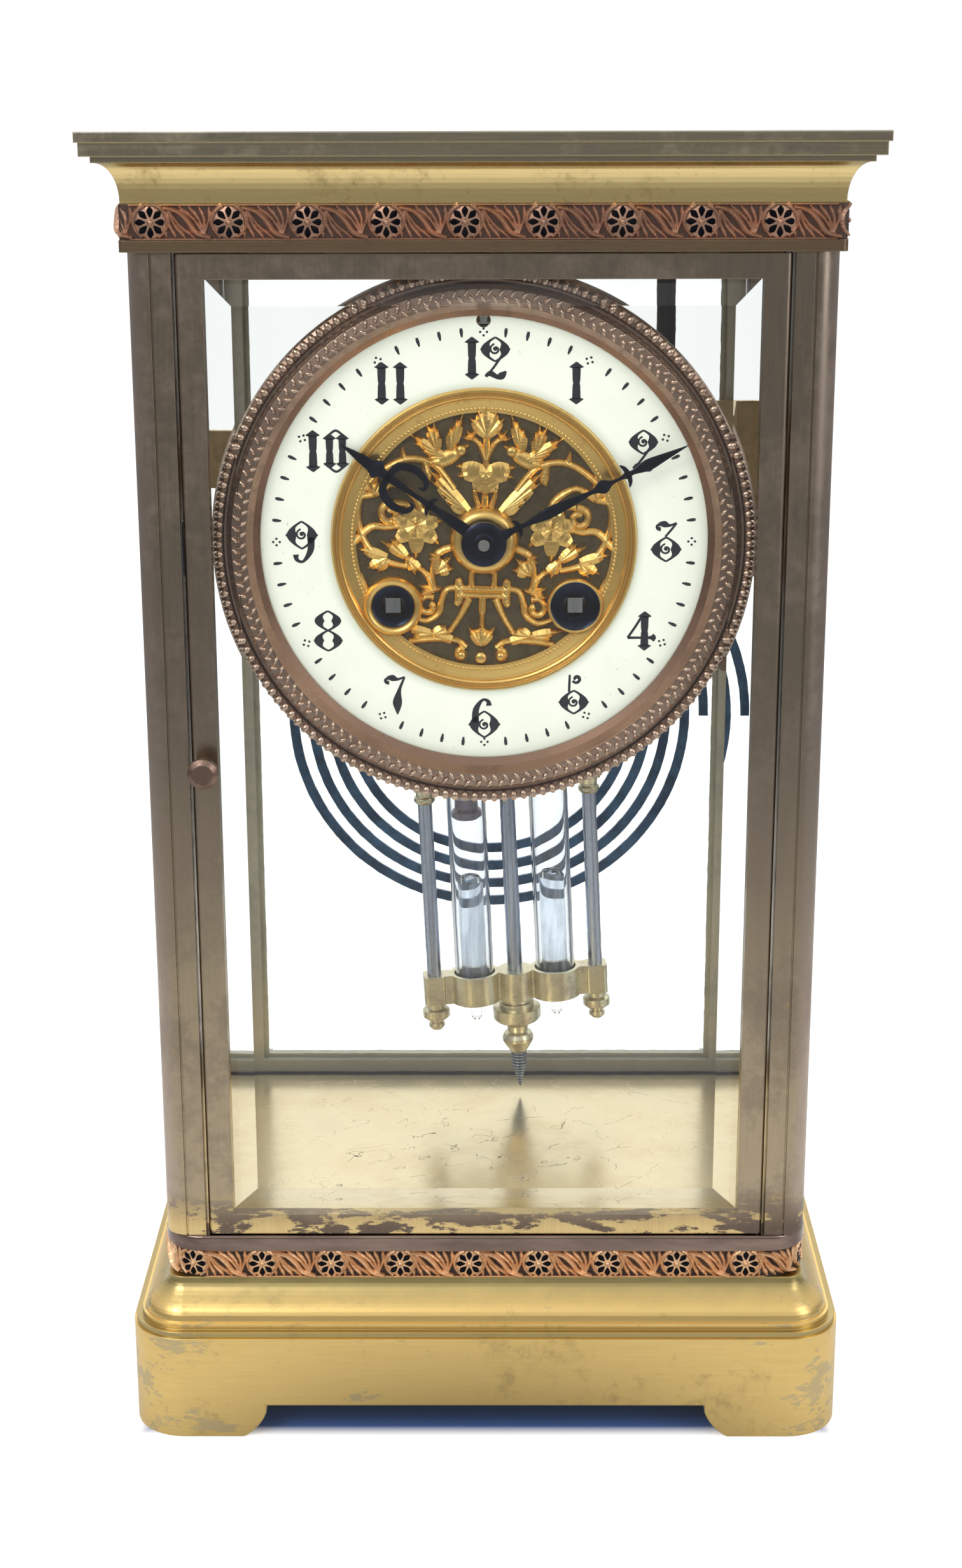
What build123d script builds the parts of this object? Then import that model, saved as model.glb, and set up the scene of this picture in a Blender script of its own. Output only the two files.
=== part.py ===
from build123d import *
import math
import os

# Four-glass mantel clock. Millimetres, +Z up, -Y is the front, origin under the middle of the feet.

os.makedirs("parts", exist_ok=True)

# ---- driving dimensions: case ----
HEIGHT = 289.0
CASE_HALF_W = 72.5            # outside of the pillars
DEPTH_DROP = 23.3             # half width minus half depth, the same at every level
CASE_HALF_D = CASE_HALF_W - DEPTH_DROP
PLINTH_HALF_W = 80.8
PLINTH_TOP = 24.8
PLINTH_CORNER = 12.0
PLINTH_WALL = 4.0
FOOT_HALF = 58.0              # half length of the arch between the bracket feet, at the floor
ARCH_TOP = 8.0
OGEE_TOP = 36.1
FRIEZE_TOP = 43.0
FRIEZE_CORNER = 9.0
LIP_HALF_W = 73.1
FLOOR_TOP = 46.6
LEDGE_BOTTOM = 265.2
LEDGE_TOP = 267.6
LEDGE_HALF_W = 73.5
TOP_FRIEZE_TOP = 274.7
COVE_TOP = 282.9
FILLET_TOP = 284.2
BAND_TOP = 286.9
PILLAR = 9.3
PILLAR_CORNER = 5.0

# ---- driving dimensions: doors and glass ----
DOOR_HALF_W = 62.64
DOOR_BOTTOM = 47.0
DOOR_TOP = 264.8
DOOR_THICK = 4.8
OPENING_HALF_W = 56.92
OPENING_BOTTOM = 51.8
OPENING_TOP = 259.7
GLASS_EDGE = 1.6
GLASS_THICK = 2.8
GLASS_LAP = 1.2
BEVEL = 5.5
HINGE_X = 61.5
HINGE_Y = -(CASE_HALF_D - 1.3)
PIN_R = 0.7
KNOB_X = -59.7
KNOB_Z = 157.0
CATCH_Z = 204.0

# ---- driving dimensions: dial and movement ----
AXIS_Z = 204.0                # height of the dial centre
DIAL_FACE = -38.3
PAN_FRONT = -36.4
PAN_BACK = -35.6
BEZEL_R = 57.0
ENAMEL_R = 51.0
CENTRE_R = 32.6
WIND_X = 19.5
WIND_DROP = 14.0
WIND_Z = AXIS_Z - WIND_DROP
PLATE_R = 45.0
PLATE_THICK = 2.2
FRONT_PLATE_Y = -30.0         # front face of the front plate
BACK_PLATE_Y = 14.0           # front face of the back plate
POST_R = 2.8
RUN = 0.05                    # running clearance on a radius
REGULATOR_Z = AXIS_Z + 46.5
PALLET_Z = 243.0              # pallet arbor and bend of the suspension spring
ESCAPE_Z = 230.5
HAMMER_X = -37.1
HAMMER_Z = 223.6

# ---- driving dimensions: gong and pendulum ----
GONG_X = 3.3
GONG_Z = 144.5
GONG_Y = 41.0
GONG_R = 52.3
GONG_PITCH = 4.7
GONG_STRIP = 2.3
GONG_THICK = 0.9
GONG_TURNS = 4
PEND_Y = 32.0
PEND_TIP = 47.9
PEND_LEAN = 2.6               # degrees, where the pendulum has swung to
PEND_TWIST = 5.0              # degrees, how far the hook sits askew
ROD_R = 1.9
SIDE_ROD_R = 1.75
SIDE_ROD_X = 20.5
TUBE_X = 10.25
TUBE_R = 4.85
TUBE_WALL = 0.9
BRACKET_LOW = 73.0
BRACKET_HIGH = 130.0
BRACKET_H = 7.5

PARTS = {}


def keep(name, shape):
    """Write one named piece and remember it."""
    PARTS[name] = shape
    export_step(shape, f"parts/{name}.step")


# ---- small helpers ----
def slab(half_w, half_d, low, high, corner=0.0):
    """A plate centred on the clock, with or without rounded upright corners."""
    if corner:
        outline = RectangleRounded(2 * half_w, 2 * half_d, corner)
    else:
        outline = Rectangle(2 * half_w, 2 * half_d)
    return Pos(0, 0, low) * extrude(outline, high - low)


def span(x0, x1, y0, y1, z0, z1):
    """A box between two corners."""
    return Pos((x0 + x1) / 2, (y0 + y1) / 2, (z0 + z1) / 2) * Box(x1 - x0, y1 - y0, z1 - z0)


def disc(x, z, radius, front, back):
    """A round bar along Y at (x, z), from its front face to its back face."""
    bar = extrude(Circle(radius), back - front)
    return Pos(x, front, z) * Rot(-90, 0, 0) * bar


def upright(x, y, radius, low, high):
    """A round bar along Z."""
    return Pos(x, y, low) * extrude(Circle(radius), high - low)


def turned_y(points, z=AXIS_Z, x=0.0):
    """A turning about a Y axis from (radius, y) points."""
    outline = make_face(Polyline(*[(r, y, 0) for r, y in points], close=True))
    return Pos(x, 0, z) * revolve(outline, Axis.Y)


def turned_z(points, x=0.0, y=0.0):
    """A turning about a Z axis from (radius, z) points."""
    outline = make_face(Polyline(*[(r, 0, z) for r, z in points], close=True))
    return Pos(x, y, 0) * revolve(outline, Axis.Z)


def mirrored(shape):
    """The same piece on the other side of the clock."""
    return mirror(shape, Plane.YZ)


def turned_round(shape):
    """The same piece turned half round the upright axis, for the back of the clock."""
    return Rot(0, 0, 180) * shape


# ---- gears ----
def gear(teeth, module, width, bore, toward=0.0, gap=False, root=1.25):
    """A flat wheel in the XY plane with backlash, a tooth (or a gap) facing the angle toward."""
    pitch_r = teeth * module / 2
    tip_r = pitch_r + 0.85 * module
    root_r = pitch_r - root * module
    step = 2 * math.pi / teeth
    start = math.radians(toward) + (step / 2 if gap else 0.0)
    points = []
    for tooth in range(teeth):
        middle = start + tooth * step
        for radius, part in ((root_r, -0.20), (pitch_r, -0.17), (tip_r, -0.07),
                             (tip_r, 0.07), (pitch_r, 0.17), (root_r, 0.20)):
            angle = middle + part * step
            points.append((radius * math.cos(angle), radius * math.sin(angle)))
    blank = make_face(Polyline(*points, close=True))
    if bore:
        blank -= Circle(bore)
    return extrude(blank, width)


def wheel_blank(teeth, module, width, bore, toward, gap=False, arms=5, rim=1.6, hub=3.0):
    """A train wheel with its rim and hub joined by straight arms."""
    wheel = gear(teeth, module, width, bore, toward, gap)
    inner = teeth * module / 2 - 1.25 * module - rim
    if inner < hub + 2.5:
        return wheel
    ring = extrude(Circle(inner) - Circle(hub), width)
    for index in range(arms):
        bar = Pos((hub + inner) / 2, 0, width / 2) * Box(inner - hub + 2, 1.5, width)
        ring -= Rot(0, 0, index * 360 / arms + 18) * bar
    return wheel - ring


def on_arbor(flat, x, z, front):
    """Stand a flat wheel up so that its axis lies along Y, its front face at y = front."""
    return Pos(x, front, z) * Rot(90, 0, 0) * mirror(flat, Plane.XY)


def angle_to(a, b):
    """The direction from one arbor to another, in degrees, in the XZ plane."""
    return math.degrees(math.atan2(b[1] - a[1], b[0] - a[0]))


def meet(a, reach_a, b, reach_b, side):
    """The arbor at reach_a from a and reach_b from b, on the chosen side of the line."""
    gap = math.dist(a, b)
    along = (reach_a ** 2 - reach_b ** 2 + gap ** 2) / (2 * gap)
    off = side * math.sqrt(reach_a ** 2 - along ** 2)
    ux, uz = (b[0] - a[0]) / gap, (b[1] - a[1]) / gap
    return (a[0] + along * ux - off * uz, a[1] + along * uz + off * ux)


def polar(a, reach, degrees):
    return (a[0] + reach * math.cos(math.radians(degrees)),
            a[1] + reach * math.sin(math.radians(degrees)))


# tooth counts and modules of the trains
BARREL_T, BARREL_M = 84, 0.45
INTER_PINION_T = 12
INTER_T, INTER_M = 72, 0.35
CENTRE_PINION_T = 8
CENTRE_T, CENTRE_M = 84, 0.30
THIRD_PINION_T = 7
THIRD_T, THIRD_M = 82, 0.30
ESCAPE_PINION_T = 7
ESCAPE_T = 32
ESCAPE_R = 9.0
CANNON_T, MINUTE_T, MOTION_M = 12, 36, 0.5
MINUTE_PINION_T, HOUR_T, HOUR_M = 10, 40, 0.48
PIN_T, PIN_M = 78, 0.35
WARN_PINION_T = 8
WARN_T, WARN_M = 70, 0.30
FLY_PINION_T = 7

# arbor positions, (x, z)
CENTRE = (0.0, AXIS_Z)
GOING = (WIND_X, WIND_Z)
STRIKE = (-WIND_X, WIND_Z)
ESCAPE = (0.0, ESCAPE_Z)
PALLET = (0.0, PALLET_Z)
INTER = meet(GOING, (BARREL_T + INTER_PINION_T) * BARREL_M / 2,
             CENTRE, (INTER_T + CENTRE_PINION_T) * INTER_M / 2, -1)
THIRD = meet(CENTRE, (CENTRE_T + THIRD_PINION_T) * CENTRE_M / 2,
             ESCAPE, (THIRD_T + ESCAPE_PINION_T) * THIRD_M / 2, 1)
MINUTE = (0.0, AXIS_Z - (CANNON_T + MINUTE_T) * MOTION_M / 2)
PINWHEEL = polar(STRIKE, (BARREL_T + INTER_PINION_T) * BARREL_M / 2, 105)
WARNING = polar(PINWHEEL, (PIN_T + WARN_PINION_T) * PIN_M / 2, 70)
FLY = polar(WARNING, (WARN_T + FLY_PINION_T) * WARN_M / 2, 60)
HAMMER = (HAMMER_X, HAMMER_Z)
ARBOR_R = 0.8
PIVOT_R = 0.5
PIN_CIRCLE = 11.8             # radius on which the ten lifting pins stand
PIN_REACH = PIN_CIRCLE + 1.4  # the hammer's tail stops outside this
COCK_GAP = 4.0                # clear space behind the back plate for the crutch
SWING = 4.0                   # the pendulum's swing each way, degrees
POSTS = [(41.5, 201.0), (-41.5, 201.0), (26.0, 236.5), (-26.0, 236.5), (0.0, 163.5)]
DIAL_FEET = [polar(CENTRE, 36.0, degrees) for degrees in (20, 160, 270)]


# ---- case ----
def moulded_block(profile, half_w, half_d, corner):
    """A block whose four sides carry one profile, carried round the rounded corners.

    profile is a list of (out, z) points, where out is measured from the corner's own centre line."""
    inner_w, inner_d = half_w - corner, half_d - corner
    face = make_face(Polyline(*[(out, 0, z) for out, z in profile], close=True))
    low = min(z for _, z in profile)
    high = max(z for _, z in profile)
    body = slab(inner_w, inner_d, low, high)
    quarter = revolve(face, Axis.Z, 90)
    for turn, (sx, sy) in enumerate(((1, 1), (-1, 1), (-1, -1), (1, -1))):
        body += Pos(sx * inner_w, sy * inner_d, 0) * Rot(0, 0, 90 * turn) * quarter
    side = extrude(face, 2 * inner_d, dir=(0, 1, 0))
    end = extrude(face, 2 * inner_w, dir=(0, 1, 0))
    body += Pos(inner_w, -inner_d, 0) * side
    body += Pos(-inner_w, inner_d, 0) * Rot(0, 0, 180) * side
    body += Pos(inner_w, inner_d, 0) * Rot(0, 0, 90) * end
    body += Pos(-inner_w, -inner_d, 0) * Rot(0, 0, 270) * end
    return body


def arch_outline(half):
    """Half outline of the opening between two bracket feet: a concave curve, then a small step."""
    step_x = half - 8.0
    curve = ThreePointArc((half, -1.0), (half - 5.6, 2.2), (step_x, 6.1))
    lines = Polyline((step_x, 6.1), (step_x, ARCH_TOP), (-step_x, ARCH_TOP), (-step_x, 6.1))
    other = ThreePointArc((-step_x, 6.1), (-(half - 5.6), 2.2), (-half, -1.0))
    return make_face([curve, lines, other, Line((-half, -1.0), (half, -1.0))])


def plinth():
    half_d = PLINTH_HALF_W - DEPTH_DROP
    body = slab(PLINTH_HALF_W, half_d, 0, PLINTH_TOP, PLINTH_CORNER)
    body -= slab(PLINTH_HALF_W - PLINTH_WALL, half_d - PLINTH_WALL, 0, PLINTH_TOP - 3.0,
                 PLINTH_CORNER - PLINTH_WALL)
    front_cut = Pos(0, 100, 0) * Rot(90, 0, 0) * extrude(arch_outline(FOOT_HALF), 200)
    side_half = FOOT_HALF - DEPTH_DROP
    side_cut = Pos(-100, 0, 0) * Rot(0, 0, 90) * Rot(90, 0, 0) * extrude(arch_outline(side_half), 200)
    body -= front_cut
    body -= side_cut
    for x, y in corner_points():
        body -= upright(x, y, 2.1, PLINTH_TOP - 4.0, PLINTH_TOP + 1)
    return body


def base_moulding():
    out = PLINTH_HALF_W - PLINTH_CORNER
    ogee = [(0, PLINTH_TOP)]
    for step_in, low, high in ((0.5, 0.0, 1.4), (1.9, 1.4, 2.9)):
        ogee += [(PLINTH_CORNER - step_in, PLINTH_TOP + low), (PLINTH_CORNER - step_in, PLINTH_TOP + high)]
    foot, head = PLINTH_TOP + 2.9, OGEE_TOP
    outer, inner = PLINTH_CORNER - 2.6, PLINTH_CORNER - (PLINTH_HALF_W - CASE_HALF_W)
    for step in range(13):
        t = step / 12
        # a cyma: slow at both ends, quick in the middle
        eased = t - 0.11 * math.sin(2 * math.pi * t)
        ogee.append((outer + (inner - outer) * eased, foot + (head - foot) * t))
    ogee.append((0, OGEE_TOP))
    body = moulded_block(ogee, PLINTH_HALF_W, PLINTH_HALF_W - DEPTH_DROP, PLINTH_CORNER)
    body -= slab(out - 4, out - DEPTH_DROP - 4, PLINTH_TOP + 2.5, OGEE_TOP + 1, 3.0)
    for x, y in corner_points():
        body -= upright(x, y, 2.1, PLINTH_TOP - 1, OGEE_TOP + 1)
    return body


def corner_points():
    """Where the case screws stand, in the middle of each pillar."""
    x = CASE_HALF_W - PILLAR / 2
    y = CASE_HALF_D - PILLAR / 2
    return [(sx * x, sy * y) for sx in (1, -1) for sy in (1, -1)]


def base_frieze():
    body = slab(CASE_HALF_W, CASE_HALF_D, OGEE_TOP, FRIEZE_TOP, FRIEZE_CORNER)
    body -= slab(CASE_HALF_W - 2.4, CASE_HALF_D - 2.4, OGEE_TOP - 1, FRIEZE_TOP + 1, FRIEZE_CORNER - 2.4)
    for x, y in corner_points():
        body -= upright(x, y, 2.1, OGEE_TOP - 1, FRIEZE_TOP + 1)
    return body


def floor_plate():
    body = slab(LIP_HALF_W, LIP_HALF_W - DEPTH_DROP, FRIEZE_TOP, FLOOR_TOP, FRIEZE_CORNER)
    body = fillet(body.faces().sort_by(Axis.Z)[-1].edges(), 0.8)
    for x, y in corner_points():
        body -= upright(x, y, 2.1, FRIEZE_TOP - 1, FLOOR_TOP + 1)
    for sign in (1, -1):
        body -= upright(sign * HINGE_X, sign * HINGE_Y, PIN_R, FLOOR_TOP - 2.0, FLOOR_TOP + 1)
    return body


def pillar():
    """The front left pillar: flat strip, fine groove, rounded corner, and a slot for the side glass."""
    outline = Pos(-CASE_HALF_W + PILLAR / 2, -CASE_HALF_D + PILLAR / 2) * Rectangle(PILLAR, PILLAR)
    corner = outline.vertices().sort_by(lambda v: v.X + v.Y)[0]
    outline = fillet(corner, PILLAR_CORNER)
    for turn in (0, 1):
        # the groove that parts the flat strip from the round corner, on the front and on the side
        if turn:
            groove = Pos(-CASE_HALF_W, -CASE_HALF_D + 5.1) * Rectangle(0.9, 0.45)
        else:
            groove = Pos(-CASE_HALF_W + 5.1, -CASE_HALF_D) * Rectangle(0.45, 0.9)
        outline -= groove
    slot_y = -CASE_HALF_D + PILLAR
    outline -= Pos(-(SIDE_GLASS_OUT - GLASS_EDGE / 2), slot_y) * Rectangle(GLASS_EDGE + 0.1, 3.6)
    body = Pos(0, 0, FLOOR_TOP) * extrude(outline, LEDGE_BOTTOM - FLOOR_TOP)
    x, y = CASE_HALF_W - PILLAR / 2, CASE_HALF_D - PILLAR / 2
    body -= upright(-x, -y, 1.55, FLOOR_TOP - 1, FLOOR_TOP + 12)
    body -= upright(-x, -y, 1.55, LEDGE_BOTTOM - 12, LEDGE_BOTTOM + 1)
    return body


SIDE_GLASS_OUT = CASE_HALF_W - 2.6


def side_glass():
    """The left pane: it stands in the pillars' slots, bevelled on the outside."""
    half = CASE_HALF_D - PILLAR + 1.7
    low, high = FLOOR_TOP, LEDGE_BOTTOM
    plate = span(-SIDE_GLASS_OUT, -SIDE_GLASS_OUT + GLASS_EDGE, -half, half, low, high)
    inner = half - 1.9
    thick = span(-SIDE_GLASS_OUT + GLASS_EDGE - 0.2, -SIDE_GLASS_OUT + GLASS_THICK,
                 -inner + BEVEL, inner - BEVEL, low + 0.2 + BEVEL, high - 0.2 - BEVEL)
    ramp = loft([
        Plane((-SIDE_GLASS_OUT + GLASS_EDGE, 0, (low + high) / 2), (0, 1, 0), (1, 0, 0))
        * Rectangle(2 * inner, high - low - 0.4),
        Plane((-SIDE_GLASS_OUT + GLASS_THICK, 0, (low + high) / 2), (0, 1, 0), (1, 0, 0))
        * Rectangle(2 * inner - 2 * BEVEL, high - low - 0.4 - 2 * BEVEL),
    ])
    return plate + thick + ramp


def top_ledge():
    half_d = LEDGE_HALF_W - DEPTH_DROP
    body = slab(LEDGE_HALF_W, half_d, LEDGE_BOTTOM, LEDGE_TOP, 1.2)
    for x, y in corner_points():
        body -= upright(x, y, 1.65, LEDGE_BOTTOM - 1, LEDGE_TOP + 1)
    for sign in (1, -1):
        body -= upright(sign * HINGE_X, sign * HINGE_Y, PIN_R, LEDGE_BOTTOM - 1, LEDGE_BOTTOM + 1.6)
    return body


def top_frieze():
    half_w, half_d = LEDGE_HALF_W - 0.2, LEDGE_HALF_W - DEPTH_DROP - 0.2
    body = slab(half_w, half_d, LEDGE_TOP, TOP_FRIEZE_TOP, 1.0)
    return body - slab(half_w - 2.4, half_d - 2.4, LEDGE_TOP - 1, TOP_FRIEZE_TOP + 1)


def cornice():
    """Cove, two fillets and the top plate in one casting with mitred corners, hollow below."""
    steps = [(-LEDGE_HALF_W + 0.6, TOP_FRIEZE_TOP)]
    start, end = 72.9, 77.3
    for step in range(11):
        turn = math.radians(90 * step / 10)
        steps.append((-(start + (end - start) * (1 - math.cos(turn))),
                      TOP_FRIEZE_TOP + 0.6 + (COVE_TOP - TOP_FRIEZE_TOP - 0.6) * math.sin(turn)))
    plates = ((77.7, COVE_TOP, FILLET_TOP), (79.7, FILLET_TOP, BAND_TOP), (80.4, BAND_TOP, HEIGHT))
    for half, low, high in plates:
        steps += [(-half, low), (-half, high)]
    outline = steps + [(-x, z) for x, z in reversed(steps)]
    wide = make_face(Polyline(*[(x, 0, z) for x, z in outline], close=True))
    trim = [(x + math.copysign(DEPTH_DROP, -x), z) for x, z in outline]
    deep = make_face(Polyline(*[(0, y, z) for y, z in trim], close=True))
    body = extrude(wide, 100, dir=(0, 1, 0), both=True) & extrude(deep, 100, dir=(1, 0, 0), both=True)
    return body - slab(68.0, 68.0 - DEPTH_DROP, TOP_FRIEZE_TOP - 1, BAND_TOP - 1.0)


def case_screws():
    """Eight screws: four long ones up through the base, four short ones down through the ledge."""
    group = []
    for x, y in corner_points():
        shank = upright(x, y, 2.0, PLINTH_TOP - 3.0, FLOOR_TOP)
        shank += upright(x, y, 1.5, FLOOR_TOP, FLOOR_TOP + 10)
        group.append(shank + upright(x, y, 3.4, PLINTH_TOP - 5.2, PLINTH_TOP - 3.0))
        short = upright(x, y, 1.5, LEDGE_BOTTOM - 10, LEDGE_TOP)
        group.append(short + upright(x, y, 2.6, LEDGE_TOP, LEDGE_TOP + 1.8))
    return Compound(children=group)


# ---- doors ----
def door_frame():
    """The front door: rails and stiles in one brass frame with a rebate behind for the glass."""
    front, back = -CASE_HALF_D, -CASE_HALF_D + DOOR_THICK
    body = span(-DOOR_HALF_W, DOOR_HALF_W, front, back, DOOR_BOTTOM, DOOR_TOP)
    edges = body.edges().filter_by(Axis.Z).group_by(Axis.Y)[0]
    body = fillet(edges, 1.3)
    body -= span(-OPENING_HALF_W, OPENING_HALF_W, front - 1, back + 1, OPENING_BOTTOM, OPENING_TOP)
    lap = GLASS_LAP + 0.1
    body -= span(-OPENING_HALF_W - lap, OPENING_HALF_W + lap, back - GLASS_EDGE - 0.1, back + 1,
                 OPENING_BOTTOM - lap, OPENING_TOP + lap)
    for low, high in ((DOOR_BOTTOM - 1, DOOR_BOTTOM + 3.0), (DOOR_TOP - 3.0, DOOR_TOP + 1)):
        body -= upright(HINGE_X, HINGE_Y, PIN_R + RUN, low, high)
    body -= disc(KNOB_X, KNOB_Z, 1.25, front - 1, back + 1)
    return body


def door_glass():
    """A bevelled pane: thin at its edges under the rebate, thicker in the middle."""
    back = -CASE_HALF_D + DOOR_THICK
    mid = (OPENING_BOTTOM + OPENING_TOP) / 2
    half_h = (OPENING_TOP - OPENING_BOTTOM) / 2
    edge = span(-OPENING_HALF_W - GLASS_LAP, OPENING_HALF_W + GLASS_LAP, back - GLASS_EDGE, back,
                OPENING_BOTTOM - GLASS_LAP, OPENING_TOP + GLASS_LAP)
    ramp = loft([
        Plane((0, back - GLASS_EDGE, mid), (1, 0, 0), (0, -1, 0))
        * Rectangle(2 * OPENING_HALF_W - 0.2, 2 * half_h - 0.2),
        Plane((0, back - GLASS_THICK, mid), (1, 0, 0), (0, -1, 0))
        * Rectangle(2 * (OPENING_HALF_W - BEVEL), 2 * (half_h - BEVEL)),
    ])
    return edge + ramp


def door_knob():
    """A turned pull knob, held by a round-headed screw from inside."""
    front, back = -CASE_HALF_D, -CASE_HALF_D + DOOR_THICK
    turning = [(0, front - 6.2), (2.2, front - 6.2), (3.3, front - 5.4), (3.3, front - 4.0),
               (2.3, front - 3.0), (1.5, front - 2.2), (1.5, front - 0.9), (2.2, front),
               (1.2, front), (1.2, back), (1.65, back), (1.65, back + 0.6), (1.2, back + 1.0),
               (0, back + 1.0)]
    return turned_y(turning, KNOB_Z, KNOB_X)


def hinge_pins():
    group = []
    for sign in (1, -1):
        x, y = sign * HINGE_X, sign * HINGE_Y
        group.append(upright(x, y, PIN_R, FLOOR_TOP - 2.0, DOOR_BOTTOM + 2.6))
        group.append(upright(x, y, PIN_R, DOOR_TOP - 2.6, LEDGE_BOTTOM + 1.6))
    return Compound(children=group)


def door_catches():
    """A small steel leaf on the pillar beside each door's free edge."""
    leaf = span(-CASE_HALF_W + PILLAR, -CASE_HALF_W + PILLAR + 0.3, -CASE_HALF_D + 0.5, -CASE_HALF_D + 5.0,
                CATCH_Z - 5.7, CATCH_Z + 5.7)
    return Compound(children=[leaf, turned_round(leaf)])


# ---- dial ----
def dial_pan():
    """The brass pan behind the dial, with three feet that stand on the front plate."""
    body = disc(0, AXIS_Z, 53.5, PAN_FRONT, PAN_BACK)
    for x, z in DIAL_FEET:
        body += disc(x, z, 1.8, PAN_BACK - 0.1, FRONT_PLATE_Y)
    body -= disc(0, AXIS_Z, 3.6, PAN_FRONT - 1, PAN_BACK + 1)
    for x, z in (GOING, STRIKE):
        body -= disc(x, z, 3.2, PAN_FRONT - 1, PAN_BACK + 1)
    return body - disc(0, REGULATOR_Z, 1.5, PAN_FRONT - 1, PAN_BACK + 1)


def enamel_dial():
    profile = [(30.9, PAN_FRONT), (ENAMEL_R, PAN_FRONT), (ENAMEL_R, DIAL_FACE + 0.7),
               (49.5, DIAL_FACE + 0.15), (44.0, DIAL_FACE), (30.9, DIAL_FACE)]
    return turned_y(profile) - disc(0, REGULATOR_Z, 1.5, DIAL_FACE - 1, PAN_FRONT + 1)


def dial_centre():
    """The gilt centre: a stepped ring over the enamel's edge and a pierced plate within it."""
    ring = turned_y([(29.3, PAN_FRONT), (30.8, PAN_FRONT), (30.8, DIAL_FACE), (CENTRE_R, DIAL_FACE),
                     (CENTRE_R, DIAL_FACE - 0.5), (31.9, DIAL_FACE - 0.9), (31.0, DIAL_FACE - 0.9),
                     (30.4, DIAL_FACE - 0.3), (29.3, DIAL_FACE - 0.3)])
    plate_front, plate_back = DIAL_FACE - 0.1, DIAL_FACE + 0.7
    plate = disc(0, AXIS_Z, 29.6, plate_front, plate_back)
    for index in range(6):
        x, z = polar(CENTRE, 20.5, 30 + 60 * index)
        plate -= disc(x, z, 6.6, plate_front - 1, plate_back + 1)
        x, z = polar(CENTRE, 11.6, 60 * index)
        plate -= disc(x, z, 3.6, plate_front - 1, plate_back + 1)
    collar = disc(*STRIKE, 6.3, DIAL_FACE - 0.6, PAN_FRONT)
    body = ring + plate + collar
    body -= disc(*STRIKE, 4.5, DIAL_FACE - 2, PAN_FRONT + 1)
    body -= disc(*GOING, 5.4, DIAL_FACE - 2, PAN_FRONT + 1)
    body += disc(0, AXIS_Z, 5.8, DIAL_FACE - 0.55, plate_back)
    return body - disc(0, AXIS_Z, 3.6, DIAL_FACE - 2, PAN_FRONT + 1)


def bezel():
    """The cast bezel: outer row, groove, broad band and a hollow slope down to the enamel."""
    face = DIAL_FACE
    profile = [(53.6, PAN_BACK), (BEZEL_R - 1.2, PAN_BACK), (BEZEL_R, PAN_BACK - 1.2), (BEZEL_R, face - 1.0),
               (56.6, face - 1.9), (55.7, face - 2.4), (54.8, face - 2.2), (54.4, face - 1.6),
               (53.9, face - 1.6), (53.6, face - 3.4), (52.9, face - 4.1), (50.9, face - 4.5),
               (50.2, face - 4.3), (49.7, face - 3.4),
               (48.9, face - 2.0), (48.0, face - 1.1), (47.5, face - 0.6), (47.5, face),
               (51.1, face), (51.1, PAN_FRONT), (53.6, PAN_FRONT)]
    return turned_y(profile)


# ---- movement: fixed pieces ----
def plate(front, holes):
    body = disc(0, AXIS_Z, PLATE_R, front, front + PLATE_THICK)
    for (x, z), radius in holes:
        body -= disc(x, z, radius, front - 1, front + PLATE_THICK + 1)
    return body


def front_plate():
    pivots = (INTER, THIRD, ESCAPE, PALLET, PINWHEEL, WARNING, FLY, HAMMER)
    holes = [(arbor, PIVOT_R + RUN) for arbor in pivots]
    holes += [(CENTRE, 1.2 + RUN), (GOING, 2.4 + RUN), (STRIKE, 2.4 + RUN), (MINUTE, PIVOT_R + RUN)]
    return plate(FRONT_PLATE_Y, holes)


def back_plate():
    pivots = (INTER, THIRD, ESCAPE, PINWHEEL, WARNING, FLY)
    holes = [(arbor, PIVOT_R + RUN) for arbor in pivots]
    holes += [(CENTRE, PIVOT_R + RUN), (GOING, 1.6 + RUN), (STRIKE, 1.6 + RUN)]
    holes += [(HAMMER, 1.2 + RUN), (PALLET, 1.6)]
    return plate(BACK_PLATE_Y, holes)


def plate_posts():
    """Turned posts between the plates, with a collar at each end."""
    front, back = FRONT_PLATE_Y + PLATE_THICK, BACK_PLATE_Y
    profile = [(0, front), (POST_R, front), (POST_R, front + 1.2), (2.1, front + 2.0), (2.1, back - 2.0),
               (POST_R, back - 1.2), (POST_R, back), (0, back)]
    return Compound(children=[turned_y(profile, z, x) for x, z in POSTS])


def bracket_side(sign, low, high):
    """One bent strap: an ear on the back plate, a run towards the back, an ear on the rear pillar."""
    ear_front = BACK_PLATE_Y + PLATE_THICK
    body = span(36.0, 50.6, ear_front, ear_front + 1.6, AXIS_Z - 2, AXIS_Z + 12)
    body += span(49.0, 50.6, ear_front, 42.2, low, high)
    body += span(49.0, CASE_HALF_W - PILLAR, 40.6, 42.2, low, high)
    body += disc(40.5, AXIS_Z + 5, 2.2, ear_front + 1.6, ear_front + 3.0)
    return body if sign > 0 else mirrored(body)


def movement_brackets():
    return Compound(children=[bracket_side(1, 180.0, 223.0), bracket_side(-1, 202.0, 216.0)])


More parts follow.
